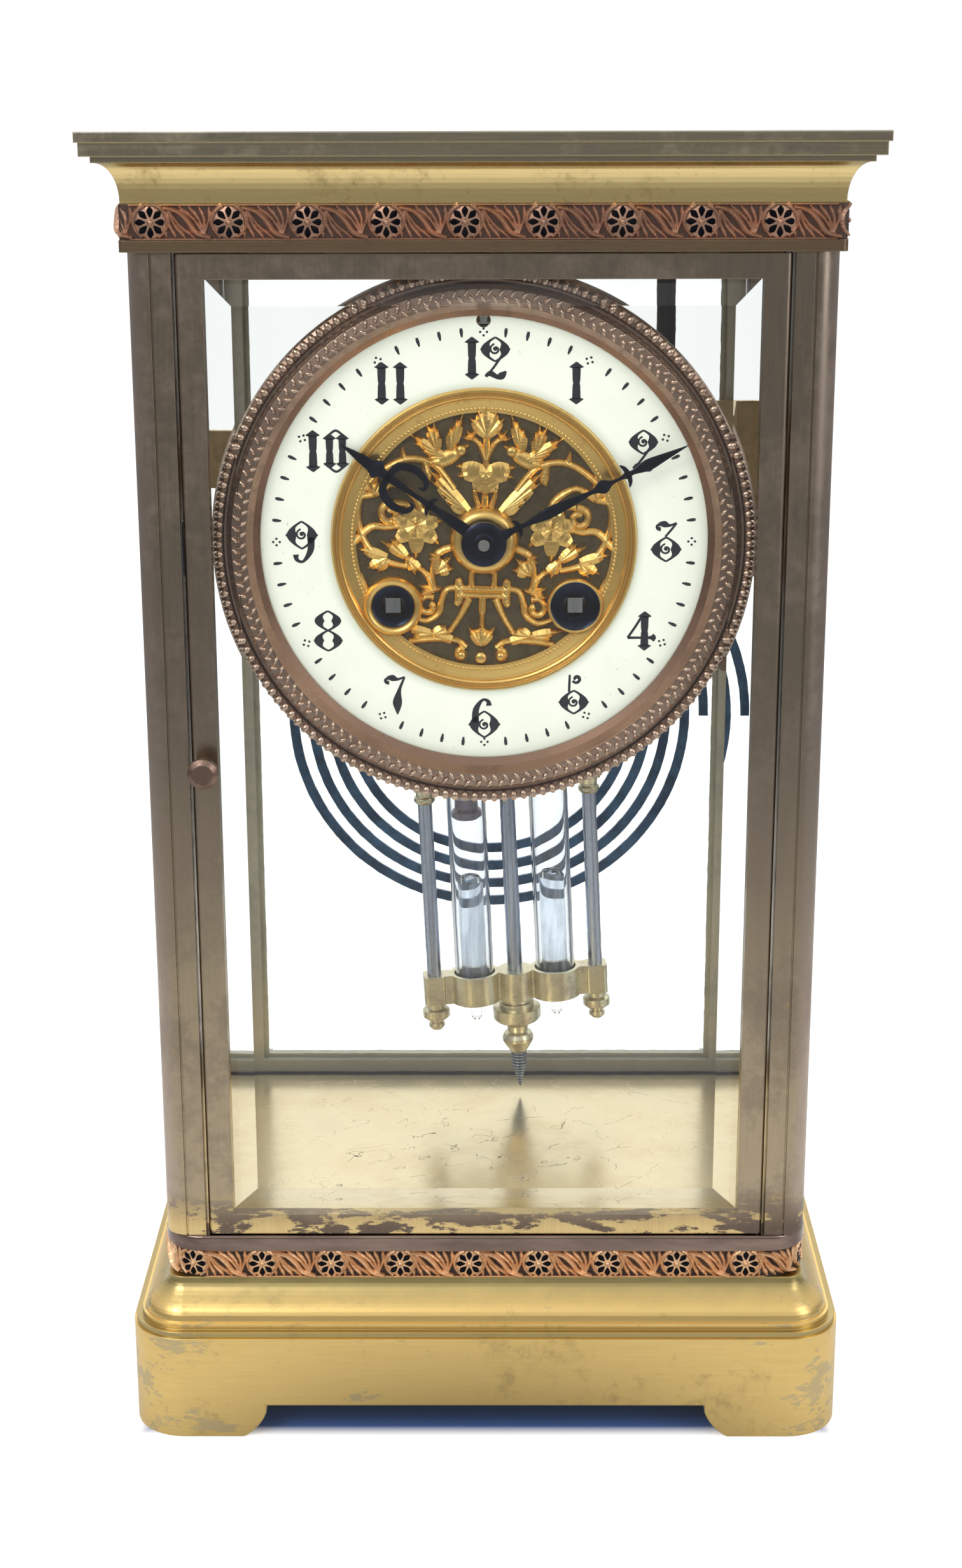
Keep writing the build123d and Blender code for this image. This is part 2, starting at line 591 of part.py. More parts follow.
def suspension_cock():
    """The bridge on the back plate that carries the suspension, and the pallet arbor's rear pivot."""
    rear = BACK_PLATE_Y + PLATE_THICK
    bridge = rear + COCK_GAP
    body = span(-13, 13, bridge, bridge + 2.0, PALLET_Z - 3.5, PALLET_Z + 4.0)
    for x in (-11, 11):
        body += span(x - 2, x + 2, rear, bridge + 0.1, PALLET_Z - 3.5, PALLET_Z)
    body += span(-3.2, 3.2, bridge, PEND_Y + 4.0, PALLET_Z + 1.6, PALLET_Z + 4.6)
    body -= span(-1.3, 1.3, PEND_Y - 3.6, PEND_Y + 5, PALLET_Z + 0.5, PALLET_Z + 3.8)
    body -= disc(0, PALLET_Z, PIVOT_R + RUN, rear - 1, bridge + 3)
    body += span(-2.6, 2.6, bridge, bridge + 4, PALLET_Z + 3.9, REGULATOR_Z + 2.6)
    return body - disc(0, REGULATOR_Z, 0.8 + RUN, rear - 1, bridge + 6)


# ---- movement: moving pieces ----
def arbor_bar(at, pieces):
    """A stepped arbor from (radius, front, back) pieces."""
    body = None
    for radius, front, back in pieces:
        bar = disc(at[0], at[1], radius, front, back)
        body = bar if body is None else body + bar
    return body


def train_arbor(at, wheel_y, wheel, pinion_y, pinion):
    """Arbor, pinion and wheel of one train piece, with a pivot in each plate."""
    front, back = FRONT_PLATE_Y + PLATE_THICK, BACK_PLATE_Y
    body = arbor_bar(at, [(PIVOT_R, FRONT_PLATE_Y + 0.4, front + 0.3), (ARBOR_R, front + 0.2, back - 0.2),
                          (PIVOT_R, back - 0.3, back + PLATE_THICK - 0.4)])
    body += on_arbor(wheel, at[0], at[1], wheel_y)
    body += on_arbor(pinion, at[0], at[1], pinion_y)
    return body


BARREL_FRONT = -24.0
GREAT_Y = -4.0
GREAT_W = 1.8
INTER_Y = 1.0
CENTRE_Y = 5.0
THIRD_Y = 8.6
ESCAPE_Y = 11.4
WARN_Y = -8.0


def barrel(at, partner):
    """Spring barrel: drum, cap and great wheel, turning on the winding arbor."""
    drum = disc(*at, 17.4, BARREL_FRONT, GREAT_Y + 0.1) + disc(*at, 18.0, BARREL_FRONT, BARREL_FRONT + 1.2)
    teeth = gear(BARREL_T, BARREL_M, GREAT_W, 0, angle_to(at, partner))
    body = drum + on_arbor(teeth, at[0], at[1], GREAT_Y)
    body -= disc(*at, 16.2, BARREL_FRONT + 1.4, GREAT_Y)
    return body - disc(*at, 2.6 + RUN, BARREL_FRONT - 1, GREAT_Y + GREAT_W + 1)


def winding_arbor(at):
    """The arbor that the key turns: square end at the front, ratchet wheel behind the front plate."""
    body = arbor_bar(at, [(2.4, FRONT_PLATE_Y - 1.0, FRONT_PLATE_Y + PLATE_THICK + 0.4),
                          (2.6, FRONT_PLATE_Y + PLATE_THICK + 0.2, GREAT_Y + GREAT_W + 0.6),
                          (1.6, GREAT_Y + GREAT_W + 0.5, BACK_PLATE_Y + PLATE_THICK - 0.4)])
    body += span(at[0] - 1.6, at[0] + 1.6, DIAL_FACE + 0.9, FRONT_PLATE_Y, at[1] - 1.6, at[1] + 1.6)
    ratchet = gear(28, 0.45, 1.2, 0)
    return body + on_arbor(ratchet, at[0], at[1], FRONT_PLATE_Y + PLATE_THICK + 0.8)


def intermediate_wheel():
    wheel = wheel_blank(INTER_T, INTER_M, 1.2, 0, angle_to(INTER, CENTRE))
    pinion = gear(INTER_PINION_T, BARREL_M, 3.0, 0, angle_to(INTER, GOING), gap=True)
    return train_arbor(INTER, INTER_Y, wheel, GREAT_Y - 0.6, pinion)


def centre_arbor():
    """The arbor that turns once an hour, reaching out to the hands."""
    wheel = wheel_blank(CENTRE_T, CENTRE_M, 1.2, 0, angle_to(CENTRE, THIRD))
    pinion = gear(CENTRE_PINION_T, INTER_M, 2.4, 0, angle_to(CENTRE, INTER), gap=True)
    body = arbor_bar(CENTRE, [(1.2, MINUTE_HAND_Y - 1.6, FRONT_PLATE_Y + PLATE_THICK + 0.5),
                              (ARBOR_R, FRONT_PLATE_Y + PLATE_THICK, BACK_PLATE_Y - 0.2),
                              (PIVOT_R, BACK_PLATE_Y - 0.3, BACK_PLATE_Y + PLATE_THICK - 0.4)])
    body += on_arbor(wheel, 0, AXIS_Z, CENTRE_Y)
    return body + on_arbor(pinion, 0, AXIS_Z, INTER_Y - 0.6)


HOUR_HAND_Y = DIAL_FACE - 1.6
MINUTE_HAND_Y = DIAL_FACE - 3.0
HAND_THICK = 0.6
CANNON_Y = FRONT_PLATE_Y - 2.4


def cannon_pinion():
    teeth = gear(CANNON_T, MOTION_M, 1.6, 0, angle_to(CENTRE, MINUTE), gap=True)
    body = on_arbor(teeth, 0, AXIS_Z, CANNON_Y)
    body += disc(0, AXIS_Z, 1.9, MINUTE_HAND_Y + HAND_THICK, CANNON_Y + 1.6)
    return body - disc(0, AXIS_Z, 1.2 + 0.02, MINUTE_HAND_Y - 2, CANNON_Y + 3)


def minute_wheel():
    wheel = gear(MINUTE_T, MOTION_M, 1.2, 0, angle_to(MINUTE, CENTRE))
    pinion = gear(MINUTE_PINION_T, HOUR_M, 1.9, 0, angle_to(MINUTE, CENTRE), gap=True)
    body = on_arbor(wheel, *MINUTE, CANNON_Y + 0.2) + on_arbor(pinion, *MINUTE, CANNON_Y - 1.6)
    return body + disc(*MINUTE, PIVOT_R, CANNON_Y + 0.2, FRONT_PLATE_Y + PLATE_THICK - 0.4)


def hour_wheel():
    wheel = gear(HOUR_T, HOUR_M, 1.0, 0, angle_to(CENTRE, MINUTE))
    body = on_arbor(wheel, 0, AXIS_Z, CANNON_Y - 1.4)
    body += disc(0, AXIS_Z, 2.9, HOUR_HAND_Y, CANNON_Y - 0.5)
    return body - disc(0, AXIS_Z, 1.9 + RUN, HOUR_HAND_Y - 1, CANNON_Y + 2)


def third_wheel():
    wheel = wheel_blank(THIRD_T, THIRD_M, 1.0, 0, angle_to(THIRD, ESCAPE))
    pinion = gear(THIRD_PINION_T, CENTRE_M, 2.2, 0, angle_to(THIRD, CENTRE), gap=True)
    return train_arbor(THIRD, THIRD_Y, wheel, CENTRE_Y - 0.5, pinion)


def escape_wheel():
    points = []
    for tooth in range(ESCAPE_T):
        lean = 360 / ESCAPE_T * tooth
        points.append(polar((0, 0), ESCAPE_R, lean))
        points.append(polar((0, 0), ESCAPE_R - 1.5, lean + 2.2))
        points.append(polar((0, 0), ESCAPE_R - 1.6, lean + 7.6))
    wheel = extrude(make_face(Polyline(*points, close=True)), 0.8)
    holes = [Rot(0, 0, 72 * index) * Pos(4.3, 0, -1) * extrude(Circle(1.5), 3) for index in range(5)]
    for hole in holes:
        wheel -= hole
    pinion = gear(ESCAPE_PINION_T, THIRD_M, 2.0, 0, angle_to(ESCAPE, THIRD), gap=True)
    return train_arbor(ESCAPE, ESCAPE_Y, wheel, THIRD_Y - 0.5, pinion)


def lean(shape):
    """Swing a piece about the pallet axis to where the pendulum has swung."""
    return Pos(0, 0, PALLET_Z) * Rot(0, -PEND_LEAN, 0) * Pos(0, 0, -PALLET_Z) * shape


def pallet_anchor():
    """Anchor, arbor and crutch: the crutch's two prongs stand beside the pendulum rod."""
    front, rear = FRONT_PLATE_Y + PLATE_THICK, BACK_PLATE_Y + PLATE_THICK
    body = arbor_bar(PALLET, [(PIVOT_R, FRONT_PLATE_Y + 0.4, front + 0.3),
                              (ARBOR_R, front + 0.2, rear + COCK_GAP - 0.2),
                              (PIVOT_R, rear + COCK_GAP - 0.3, rear + COCK_GAP + 1.6)])
    arms = [(3.0, 1.6), (0.0, 2.6), (-3.0, 1.6), (-7.4, -5.0), (-7.4, -7.8), (-6.2, -7.8), (-5.6, -5.2),
            (0.0, -1.2), (5.6, -5.2), (6.2, -7.8), (7.4, -7.8), (7.4, -5.0)]
    flat = extrude(make_face(Polyline(*arms, close=True)), 1.0)
    # the pallets keep clear of the wheel's circle over the whole swing
    for part in (-1.05, -0.5, 0, 0.5, 1.05):
        turned = Rot(0, 0, part * SWING) * Pos(0, ESCAPE_Z - PALLET_Z, -1)
        flat -= turned * extrude(Circle(ESCAPE_R + 0.25), 3)
    body += on_arbor(flat, *PALLET, ESCAPE_Y - 0.1)
    crutch_y = rear + 1.4
    foot = PALLET_Z - 34
    body += disc(*PALLET, 1.8, crutch_y - 0.4, crutch_y + 1.6)
    body += span(-1.0, 1.0, crutch_y, crutch_y + 0.8, foot, PALLET_Z)
    body += span(-2.9, 2.9, crutch_y, crutch_y + 0.8, foot - 0.8, foot + 0.8)
    for sign in (1, -1):
        body += span(sign * 2.5 - 0.4, sign * 2.5 + 0.4, crutch_y, PEND_Y + 2.0, foot - 0.8, foot + 0.8)
    return body


def pin_wheel():
    wheel = wheel_blank(PIN_T, PIN_M, 1.2, 0, angle_to(PINWHEEL, WARNING))
    pinion = gear(INTER_PINION_T, BARREL_M, 3.0, 0, angle_to(PINWHEEL, STRIKE), gap=True)
    body = train_arbor(PINWHEEL, INTER_Y, wheel, GREAT_Y - 0.6, pinion)
    for index in range(10):
        x, z = polar(PINWHEEL, PIN_CIRCLE, 36 * index)
        body += disc(x, z, 0.45, INTER_Y + 1.1, INTER_Y + 3.6)
    return body


def warning_wheel():
    wheel = wheel_blank(WARN_T, WARN_M, 1.0, 0, angle_to(WARNING, FLY))
    pinion = gear(WARN_PINION_T, PIN_M, 2.2, 0, angle_to(WARNING, PINWHEEL), gap=True)
    return train_arbor(WARNING, WARN_Y, wheel, INTER_Y - 0.5, pinion)


def fly():
    """The air brake of the strike: a broad thin vane on the last arbor."""
    pinion = gear(FLY_PINION_T, WARN_M, 2.0, 0, angle_to(FLY, WARNING), gap=True)
    vane = Pos(0, 0, 6.0) * Rot(0, 0, 25) * Box(12.0, 0.5, 12.0)
    return train_arbor(FLY, -22.0, vane, WARN_Y - 0.5, pinion)


def hammer():
    """Hammer arbor, lifting tail, arm and head: the head rests just clear of the gong's outer turn."""
    rear = BACK_PLATE_Y + PLATE_THICK
    body = arbor_bar(HAMMER, [(PIVOT_R, FRONT_PLATE_Y + 0.4, FRONT_PLATE_Y + PLATE_THICK + 0.3),
                              (1.2, FRONT_PLATE_Y + PLATE_THICK + 0.2, HAMMER_ARM_Y + 1.2)])
    tail = Pos(2.4, -1.6, 0.6) * Rot(0, 0, -33) * Box(6.2, 1.4, 1.2)
    body += on_arbor(tail, *HAMMER, INTER_Y + 2.0) - disc(*PINWHEEL, PIN_REACH, INTER_Y, INTER_Y + 5.0)
    head = polar((GONG_X, GONG_Z), GONG_R + 1.0 + HAMMER_HEAD_R, 150)
    length = math.dist(HAMMER, head)
    arm = Pos(length / 2, 0, 0.6) * Box(length, 1.6, 1.2)
    arm = Rot(0, 0, angle_to(HAMMER, head)) * arm
    body += on_arbor(arm, *HAMMER, HAMMER_ARM_Y)
    body += disc(*HAMMER, 2.6, rear + 0.4, rear + 3.0)
    return body + disc(*head, HAMMER_HEAD_R, HAMMER_ARM_Y - 1.4, GONG_Y + 2.2)


HAMMER_ARM_Y = 37.4
HAMMER_HEAD_R = 3.4


def regulator_arbor():
    """The small square above 12, and its shaft to the suspension."""
    block_back = BACK_PLATE_Y + PLATE_THICK + COCK_GAP + 4.0
    body = disc(0, REGULATOR_Z, 0.8, PAN_FRONT, block_back + 2.0)
    body += span(-0.7, 0.7, DIAL_FACE - 0.2, PAN_FRONT + 0.5, REGULATOR_Z - 0.7, REGULATOR_Z + 0.7)
    teeth = gear(10, 0.4, 1.5, 0)
    return body + on_arbor(teeth, 0, REGULATOR_Z, block_back + 0.3)


# ---- hands ----
def hand_outline(points):
    """A hand symmetric about its length, from (along, half width) points."""
    upper = [(along, half) for along, half in points]
    lower = [(along, -half) for along, half in reversed(points)]
    return make_face(Polyline(*(upper + lower), close=True))


HOUR_CLOCK_DEG = 304.9        # clockwise from 12
MINUTE_CLOCK_DEG = 63.9


def set_hand(flat, clock_deg, front):
    return on_arbor(Rot(0, 0, 90 - clock_deg) * flat, 0, AXIS_Z, front)


def hour_hand():
    """Openwork hour hand: a crescent of two horns behind a leaf-shaped point."""
    body = hand_outline([(0, 1.8), (9, 1.5), (13, 0.9), (19, 1.2), (23, 1.6), (26, 1.5), (28.0, 3.4),
                         (31, 2.0), (34.5, 0.9), (36.5, 0.2)])
    horns = Pos(19.2, 0) * (Circle(5.8) - Pos(-1.2, 0) * Circle(4.2))
    horns -= Pos(10.2, 0) * Rectangle(9, 20)
    flat = extrude(body + horns + Circle(4.0), HAND_THICK)
    flat -= Pos(0, 0, -1) * extrude(Circle(2.9), 3)
    return set_hand(flat, HOUR_CLOCK_DEG, HOUR_HAND_Y)


def minute_hand():
    """Long minute hand with cross knuckles, and the domed collet riveted to it."""
    body = hand_outline([(0, 1.5), (8.5, 1.2), (9.0, 2.4), (10.0, 2.4), (10.5, 1.2), (14, 1.5),
                         (20, 0.8), (25, 0.7), (27.5, 1.9), (29, 1.2), (32.4, 0.8), (32.8, 2.6),
                         (34.2, 2.6), (34.6, 0.8), (38, 1.7), (42, 1.1), (46.2, 0.5), (47.6, 0.3)])
    flat = extrude(body + Circle(4.8), HAND_THICK)
    hand = set_hand(flat, MINUTE_CLOCK_DEG, MINUTE_HAND_Y)
    front = MINUTE_HAND_Y
    collet = turned_y([(0, front + 0.1), (4.6, front + 0.1), (4.4, front - 0.5), (3.0, front - 1.0),
                       (0, front - 1.1)])
    return hand + collet - disc(0, AXIS_Z, 1.25, front - 2, front + 2)


# ---- gong ----
def gong():
    """The blued strip: half circles on two centres for the turns, then one in to the block."""
    flat = None
    centre = 0.0
    radius = GONG_R
    upper = True
    for index in range(2 * GONG_TURNS):
        ring = Circle(radius) - Circle(radius - GONG_STRIP)
        half = Pos(0, 100 if upper else -100) * Rectangle(400, 200)
        piece = Pos(centre, 0) * (ring & half)
        flat = piece if flat is None else flat + piece
        # the next half circle starts where this one ends, half a pitch smaller
        shift = GONG_PITCH / 2
        centre += -shift if upper else shift
        radius -= shift
        upper = not upper
    last = radius
    tail_r = last / 2 + GONG_STRIP / 2
    half = Pos(0, 100) * Rectangle(400, 200)
    tail = Pos(centre + last - tail_r, 0) * ((Circle(tail_r) - Circle(tail_r - GONG_STRIP)) & half)
    flat = flat + tail
    return on_arbor(extrude(flat, GONG_THICK), GONG_X, GONG_Z, GONG_Y)


def gong_block():
    """The iron block at the gong's centre, on a strap that hangs from the top ledge."""
    strap_front, strap_back = 38.6, 40.4
    body = span(GONG_X - 4.5, GONG_X + 4.5, strap_front, GONG_Y, GONG_Z - 5, GONG_Z + 5)
    strap_x, bend_z = 43.2, 205.0
    body += span(strap_x - 2.2, strap_x + 2.2, strap_front, strap_back, bend_z, LEDGE_BOTTOM)
    length = math.dist((GONG_X, GONG_Z), (strap_x, bend_z)) + 3.0
    slope = angle_to((GONG_X, GONG_Z), (strap_x, bend_z))
    arm = Rot(0, 0, slope) * Pos(length / 2, 0, 0.9) * Box(length, 4.4, 1.8)
    body += on_arbor(arm, GONG_X, GONG_Z, strap_front)
    return body


# ---- pendulum ----
def hang(shape):
    """Turn a piece askew on the hook and swing it with the pendulum."""
    askew = Pos(0, PEND_Y, 0) * Rot(0, 0, PEND_TWIST) * shape
    return lean(askew)


def suspension_spring():
    strip = span(-0.12, 0.12, -2.4, 2.4, PALLET_Z - 15, PALLET_Z + 3.4)
    clamp = span(-2.4, 2.4, -3.2, 3.2, PALLET_Z - 17, PALLET_Z - 13)
    return hang(strip + clamp)


def pendulum_rod():
    """The steel rod: hook block at the top, thread and point at the bottom."""
    top = PALLET_Z - 17.0
    rod = upright(0, 0, ROD_R, PEND_TIP + 10.0, top - 3.0)
    hook = span(-2.6, 2.6, -2.4, 2.4, top - 6.0, top)
    point = turned_z([(0, PEND_TIP), (1.9, PEND_TIP + 6.5), (1.9, PEND_TIP + 10.1), (0, PEND_TIP + 10.1)])
    return hang(rod + hook + point)


def bracket_outline():
    """Scalloped plan of a pendulum bracket: a swelling at each tube, at the rod and at each end."""
    plan = Rectangle(2 * SIDE_ROD_X, 4.6) + Circle(4.6)
    for sign in (1, -1):
        plan += Pos(sign * TUBE_X, 0) * Circle(6.2)
        plan += Pos(sign * SIDE_ROD_X, 0) * RectangleRounded(5.6, 5.6, 1.2)
    return plan


def pendulum_bracket(low, floor):
    """One bracket: the rods go through, the tubes stand in sockets with a thin floor."""
    body = Pos(0, 0, low) * extrude(bracket_outline(), BRACKET_H)
    body -= upright(0, 0, ROD_R + 0.02, low - 1, low + BRACKET_H + 1)
    for sign in (1, -1):
        body -= upright(sign * SIDE_ROD_X, 0, SIDE_ROD_R + 0.02, low - 1, low + BRACKET_H + 1)
        socket_low = low + floor if floor > 0 else low - 1
        socket_high = low + BRACKET_H + 1 if floor > 0 else low + BRACKET_H - 1.5
        body -= upright(sign * TUBE_X, 0, TUBE_R + 0.35, socket_low, socket_high)
        body -= upright(sign * TUBE_X, 0, 1.7, low - 1, low + BRACKET_H + 1)
    return body


def pendulum_brackets():
    low = pendulum_bracket(BRACKET_LOW, 1.4)
    high = pendulum_bracket(BRACKET_HIGH, 0.0)
    return Compound(children=[hang(low), hang(high)])


def side_rods():
    group = [hang(upright(sign * SIDE_ROD_X, 0, SIDE_ROD_R, BRACKET_LOW, BRACKET_HIGH + BRACKET_H))
             for sign in (1, -1)]
    return Compound(children=group)


def rod_nuts():
    """Turned nuts under the lower bracket, and ringed collars under the upper one."""
    z = BRACKET_LOW
    finial = [(0, z), (2.3, z), (2.3, z - 1.3), (3.4, z - 1.9), (3.4, z - 3.6), (2.6, z - 4.3),
              (1.4, z - 4.7), (1.4, z - 5.1), (2.0, z - 5.6), (2.0, z - 6.4), (1.2, z - 7.2),
              (0, z - 7.5)]
    z = BRACKET_HIGH
    bore = SIDE_ROD_R + 0.02
    collar = [(bore, z), (2.4, z), (2.1, z - 1.6), (2.1, z - 2.2), (2.6, z - 2.6), (2.6, z - 3.4),
              (2.2, z - 4.0), (bore, z - 4.0)]
    group = []
    for sign in (1, -1):
        group.append(hang(turned_z(finial, sign * SIDE_ROD_X)))
        group.append(hang(turned_z(collar, sign * SIDE_ROD_X)))
    return Compound(children=group)


def glass_tubes():
    """Two glass tubes, each closed below in a rounded end with a drawn-off tip."""
    low, high = BRACKET_LOW + 1.5, BRACKET_HIGH + BRACKET_H - 1.6
    wall = TUBE_R - TUBE_WALL
    tip = low - 7.2
    profile = [(0, tip), (0.7, tip + 0.2), (1.3, tip + 1.0), (1.5, low), (3.4, low + 0.1),
               (TUBE_R - 0.5, low + 0.7), (TUBE_R, low + 1.9), (TUBE_R, high), (wall, high),
               (wall, low + 2.4), (wall - 0.8, low + 1.5), (0, low + 1.2)]
    return Compound(children=[hang(turned_z(profile, sign * TUBE_X)) for sign in (1, -1)])


CAPSULE_R = 3.2
CAPSULE_TOP = 106.5


def tube_capsules():
    """What stands in each tube: a domed inner glass, and above it a dark stepped plug."""
    low = BRACKET_LOW + 1.5 + 2.2
    dome = [(0, low), (CAPSULE_R - 0.6, low), (CAPSULE_R, low + 0.8), (CAPSULE_R, CAPSULE_TOP - 1.6),
            (CAPSULE_R - 0.9, CAPSULE_TOP - 0.4), (0, CAPSULE_TOP)]
    group = []
    for sign, plug_low in ((-1, 121.4), (1, 127.6)):
        group.append(hang(turned_z(dome, sign * TUBE_X)))
        plug = [(0, plug_low), (3.0, plug_low), (3.8, plug_low + 0.8), (3.8, plug_low + 2.0),
                (2.9, plug_low + 2.8), (2.9, plug_low + 5.2), (0, plug_low + 5.2)]
        group.append(hang(turned_z(plug, sign * TUBE_X)))
    return Compound(children=group)


def rating_nut():
    """The nut that sets the rate: knurled neck, chamfered disc, small ring."""
    z = BRACKET_LOW - 0.1
    bore = ROD_R + RUN
    profile = [(bore, z), (3.7, z), (3.7, z - 0.9), (4.4, z - 1.2), (4.4, z - 2.4), (6.0, z - 2.6),
               (6.0, z - 5.4), (5.4, z - 6.0), (2.7, z - 7.6), (2.5, z - 9.2), (3.4, z - 9.7),
               (3.9, z - 10.8), (3.9, z - 11.6), (3.2, z - 12.8), (bore, z - 14.8)]
    return hang(turned_z(profile))


# ---- write every piece ----
def main():
    keep("plinth", plinth())
    keep("base_moulding", base_moulding())
    keep("base_frieze", base_frieze())
    keep("floor_plate", floor_plate())
    post = pillar()
    keep("pillar_front_left", post)
    keep("pillar_front_right", mirrored(post))
    keep("pillar_rear_right", turned_round(post))
    keep("pillar_rear_left", turned_round(mirrored(post)))
    keep("top_ledge", top_ledge())
    keep("top_frieze", top_frieze())
    keep("cornice", cornice())
    keep("side_glass_left", side_glass())
    keep("side_glass_right", mirrored(side_glass()))
    keep("case_screws", case_screws())
    keep("door_hinge_pins", hinge_pins())
    keep("door_catches", door_catches())
    for name, piece in (("frame", door_frame()), ("glass", door_glass()), ("knob", door_knob())):
        keep(f"front_door_{name}", piece)
        keep(f"rear_door_{name}", turned_round(piece))
    keep("dial_pan", dial_pan())
    keep("enamel_dial", enamel_dial())
    keep("dial_centre", dial_centre())
    keep("bezel", bezel())
    keep("front_plate", front_plate())
    keep("back_plate", back_plate())
    keep("plate_posts", plate_posts())
    keep("movement_brackets", movement_brackets())
    keep("suspension_cock", suspension_cock())
    keep("going_barrel", barrel(GOING, INTER))
    keep("strike_barrel", barrel(STRIKE, PINWHEEL))
    keep("going_arbor", winding_arbor(GOING))
    keep("strike_arbor", winding_arbor(STRIKE))
    keep("intermediate_wheel", intermediate_wheel())
    keep("centre_arbor", centre_arbor())
    keep("cannon_pinion", cannon_pinion())
    keep("minute_wheel", minute_wheel())
    keep("hour_wheel", hour_wheel())
    keep("third_wheel", third_wheel())
    keep("escape_wheel", escape_wheel())
    keep("pallet_anchor", lean(pallet_anchor()))
    keep("pin_wheel", pin_wheel())
    keep("warning_wheel", warning_wheel())
    keep("fly", fly())
    keep("hammer", hammer())
    keep("regulator_arbor", regulator_arbor())
    keep("hour_hand", hour_hand())
    keep("minute_hand", minute_hand())
    keep("gong", gong())
    keep("gong_block", gong_block())
    keep("suspension_spring", suspension_spring())
    keep("pendulum_rod", pendulum_rod())
    keep("pendulum_brackets", pendulum_brackets())
    keep("side_rods", side_rods())
    keep("rod_nuts", rod_nuts())
    keep("glass_tubes", glass_tubes())
    keep("tube_capsules", tube_capsules())
    keep("rating_nut", rating_nut())
    print(len(PARTS), "pieces written")


main()
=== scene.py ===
# %% [markdown]
# # A four-glass mantel clock
# The clock is a brass case with a bevelled glass in each side, an enamel dial with a pierced gilt
# centre, and a pendulum with two glass tubes. Its working parts come ready made as the frame. This
# lesson dresses them: it gives every part its finish, and adds the cast, engraved and painted
# detail that is too fine for a working drawing.

# %% Load the frame
import math

import bmesh
import bpy
from mathutils import Matrix, Vector
from mathutils.geometry import interpolate_bezier


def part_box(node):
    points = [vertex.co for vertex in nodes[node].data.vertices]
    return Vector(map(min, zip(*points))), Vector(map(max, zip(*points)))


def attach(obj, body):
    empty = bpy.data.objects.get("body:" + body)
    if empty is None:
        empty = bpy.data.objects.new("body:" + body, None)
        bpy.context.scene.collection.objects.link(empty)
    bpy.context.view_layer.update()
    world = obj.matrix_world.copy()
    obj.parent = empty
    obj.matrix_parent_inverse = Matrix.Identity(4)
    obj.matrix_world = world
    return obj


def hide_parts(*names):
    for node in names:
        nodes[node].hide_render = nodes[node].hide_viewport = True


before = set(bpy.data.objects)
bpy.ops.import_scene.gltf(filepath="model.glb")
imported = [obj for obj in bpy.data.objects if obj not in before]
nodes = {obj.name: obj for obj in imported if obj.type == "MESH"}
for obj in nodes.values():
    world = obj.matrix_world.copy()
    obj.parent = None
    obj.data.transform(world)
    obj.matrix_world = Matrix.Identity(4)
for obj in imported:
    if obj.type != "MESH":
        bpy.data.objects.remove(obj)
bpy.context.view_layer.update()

# %% [markdown]
# ## Measures
# Fine detail is easier to think of in millimetres, so one constant turns them into metres. The
# places all come from the parts: the dial's centre is the middle of the enamel ring.

# %% Measures
MM = 0.001


def middle(node):
    """The centre of a part's box."""
    low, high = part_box(node)
    return (low + high) / 2


DIAL = middle("enamel_dial")
DIAL_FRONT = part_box("enamel_dial")[0].y
print("dial centre", [round(value / MM, 1) for value in DIAL], "mm")

# %% [markdown]
# ## The camera
# A long lens standing a little above the clock and close to it, so that the upright sides lean
# together slightly and the glass floor of the case can be seen. Three turns place it: down by the
# pitch, then to the side by the yaw, and a very small roll.

# %% Camera
CAMERA_PLACE = Vector((0.0020, -0.5580, 0.3045))
PITCH = 0.2889
YAW = -0.0053
ROLL = 0.0024
LENS = 56.84

camera_data = bpy.data.cameras.new("camera")
camera_data.lens = LENS
camera_data.sensor_width = 36.0
camera_data.clip_start = 0.01
camera = bpy.data.objects.new("camera", camera_data)
bpy.context.scene.collection.objects.link(camera)
camera.matrix_world = (
    Matrix.Translation(CAMERA_PLACE)
    @ Matrix.Rotation(-YAW, 4, "Z")
    @ Matrix.Rotation(math.pi / 2 - PITCH, 4, "X")
    @ Matrix.Rotation(-ROLL, 4, "Z")
)
bpy.context.scene.camera = camera
bpy.context.scene.view_settings.view_transform = "Standard"
print("camera", round((CAMERA_PLACE - DIAL).length / MM), "mm from the dial")

# %% [markdown]
# ## Writing finishes as sums
# A finish is a small network of nodes. Joining nodes one by one is long to read, so this class
# wraps a node's output: adding or multiplying two of them places the Math node that does it, and
# `node` places any other node from its type, its settings and what goes into its sockets.

# %% Finish helper
class Amount:
    """A value that changes over a surface."""

    def __init__(self, finish, socket):
        self.finish = finish
        self.socket = socket

    def __add__(self, other):
        return self.finish.maths("ADD", self, other)

    def __sub__(self, other):
        return self.finish.maths("SUBTRACT", self, other)

    def __rsub__(self, other):
        return self.finish.maths("SUBTRACT", other, self)

    def __mul__(self, other):
        return self.finish.maths("MULTIPLY", self, other)

    __radd__ = __add__
    __rmul__ = __mul__


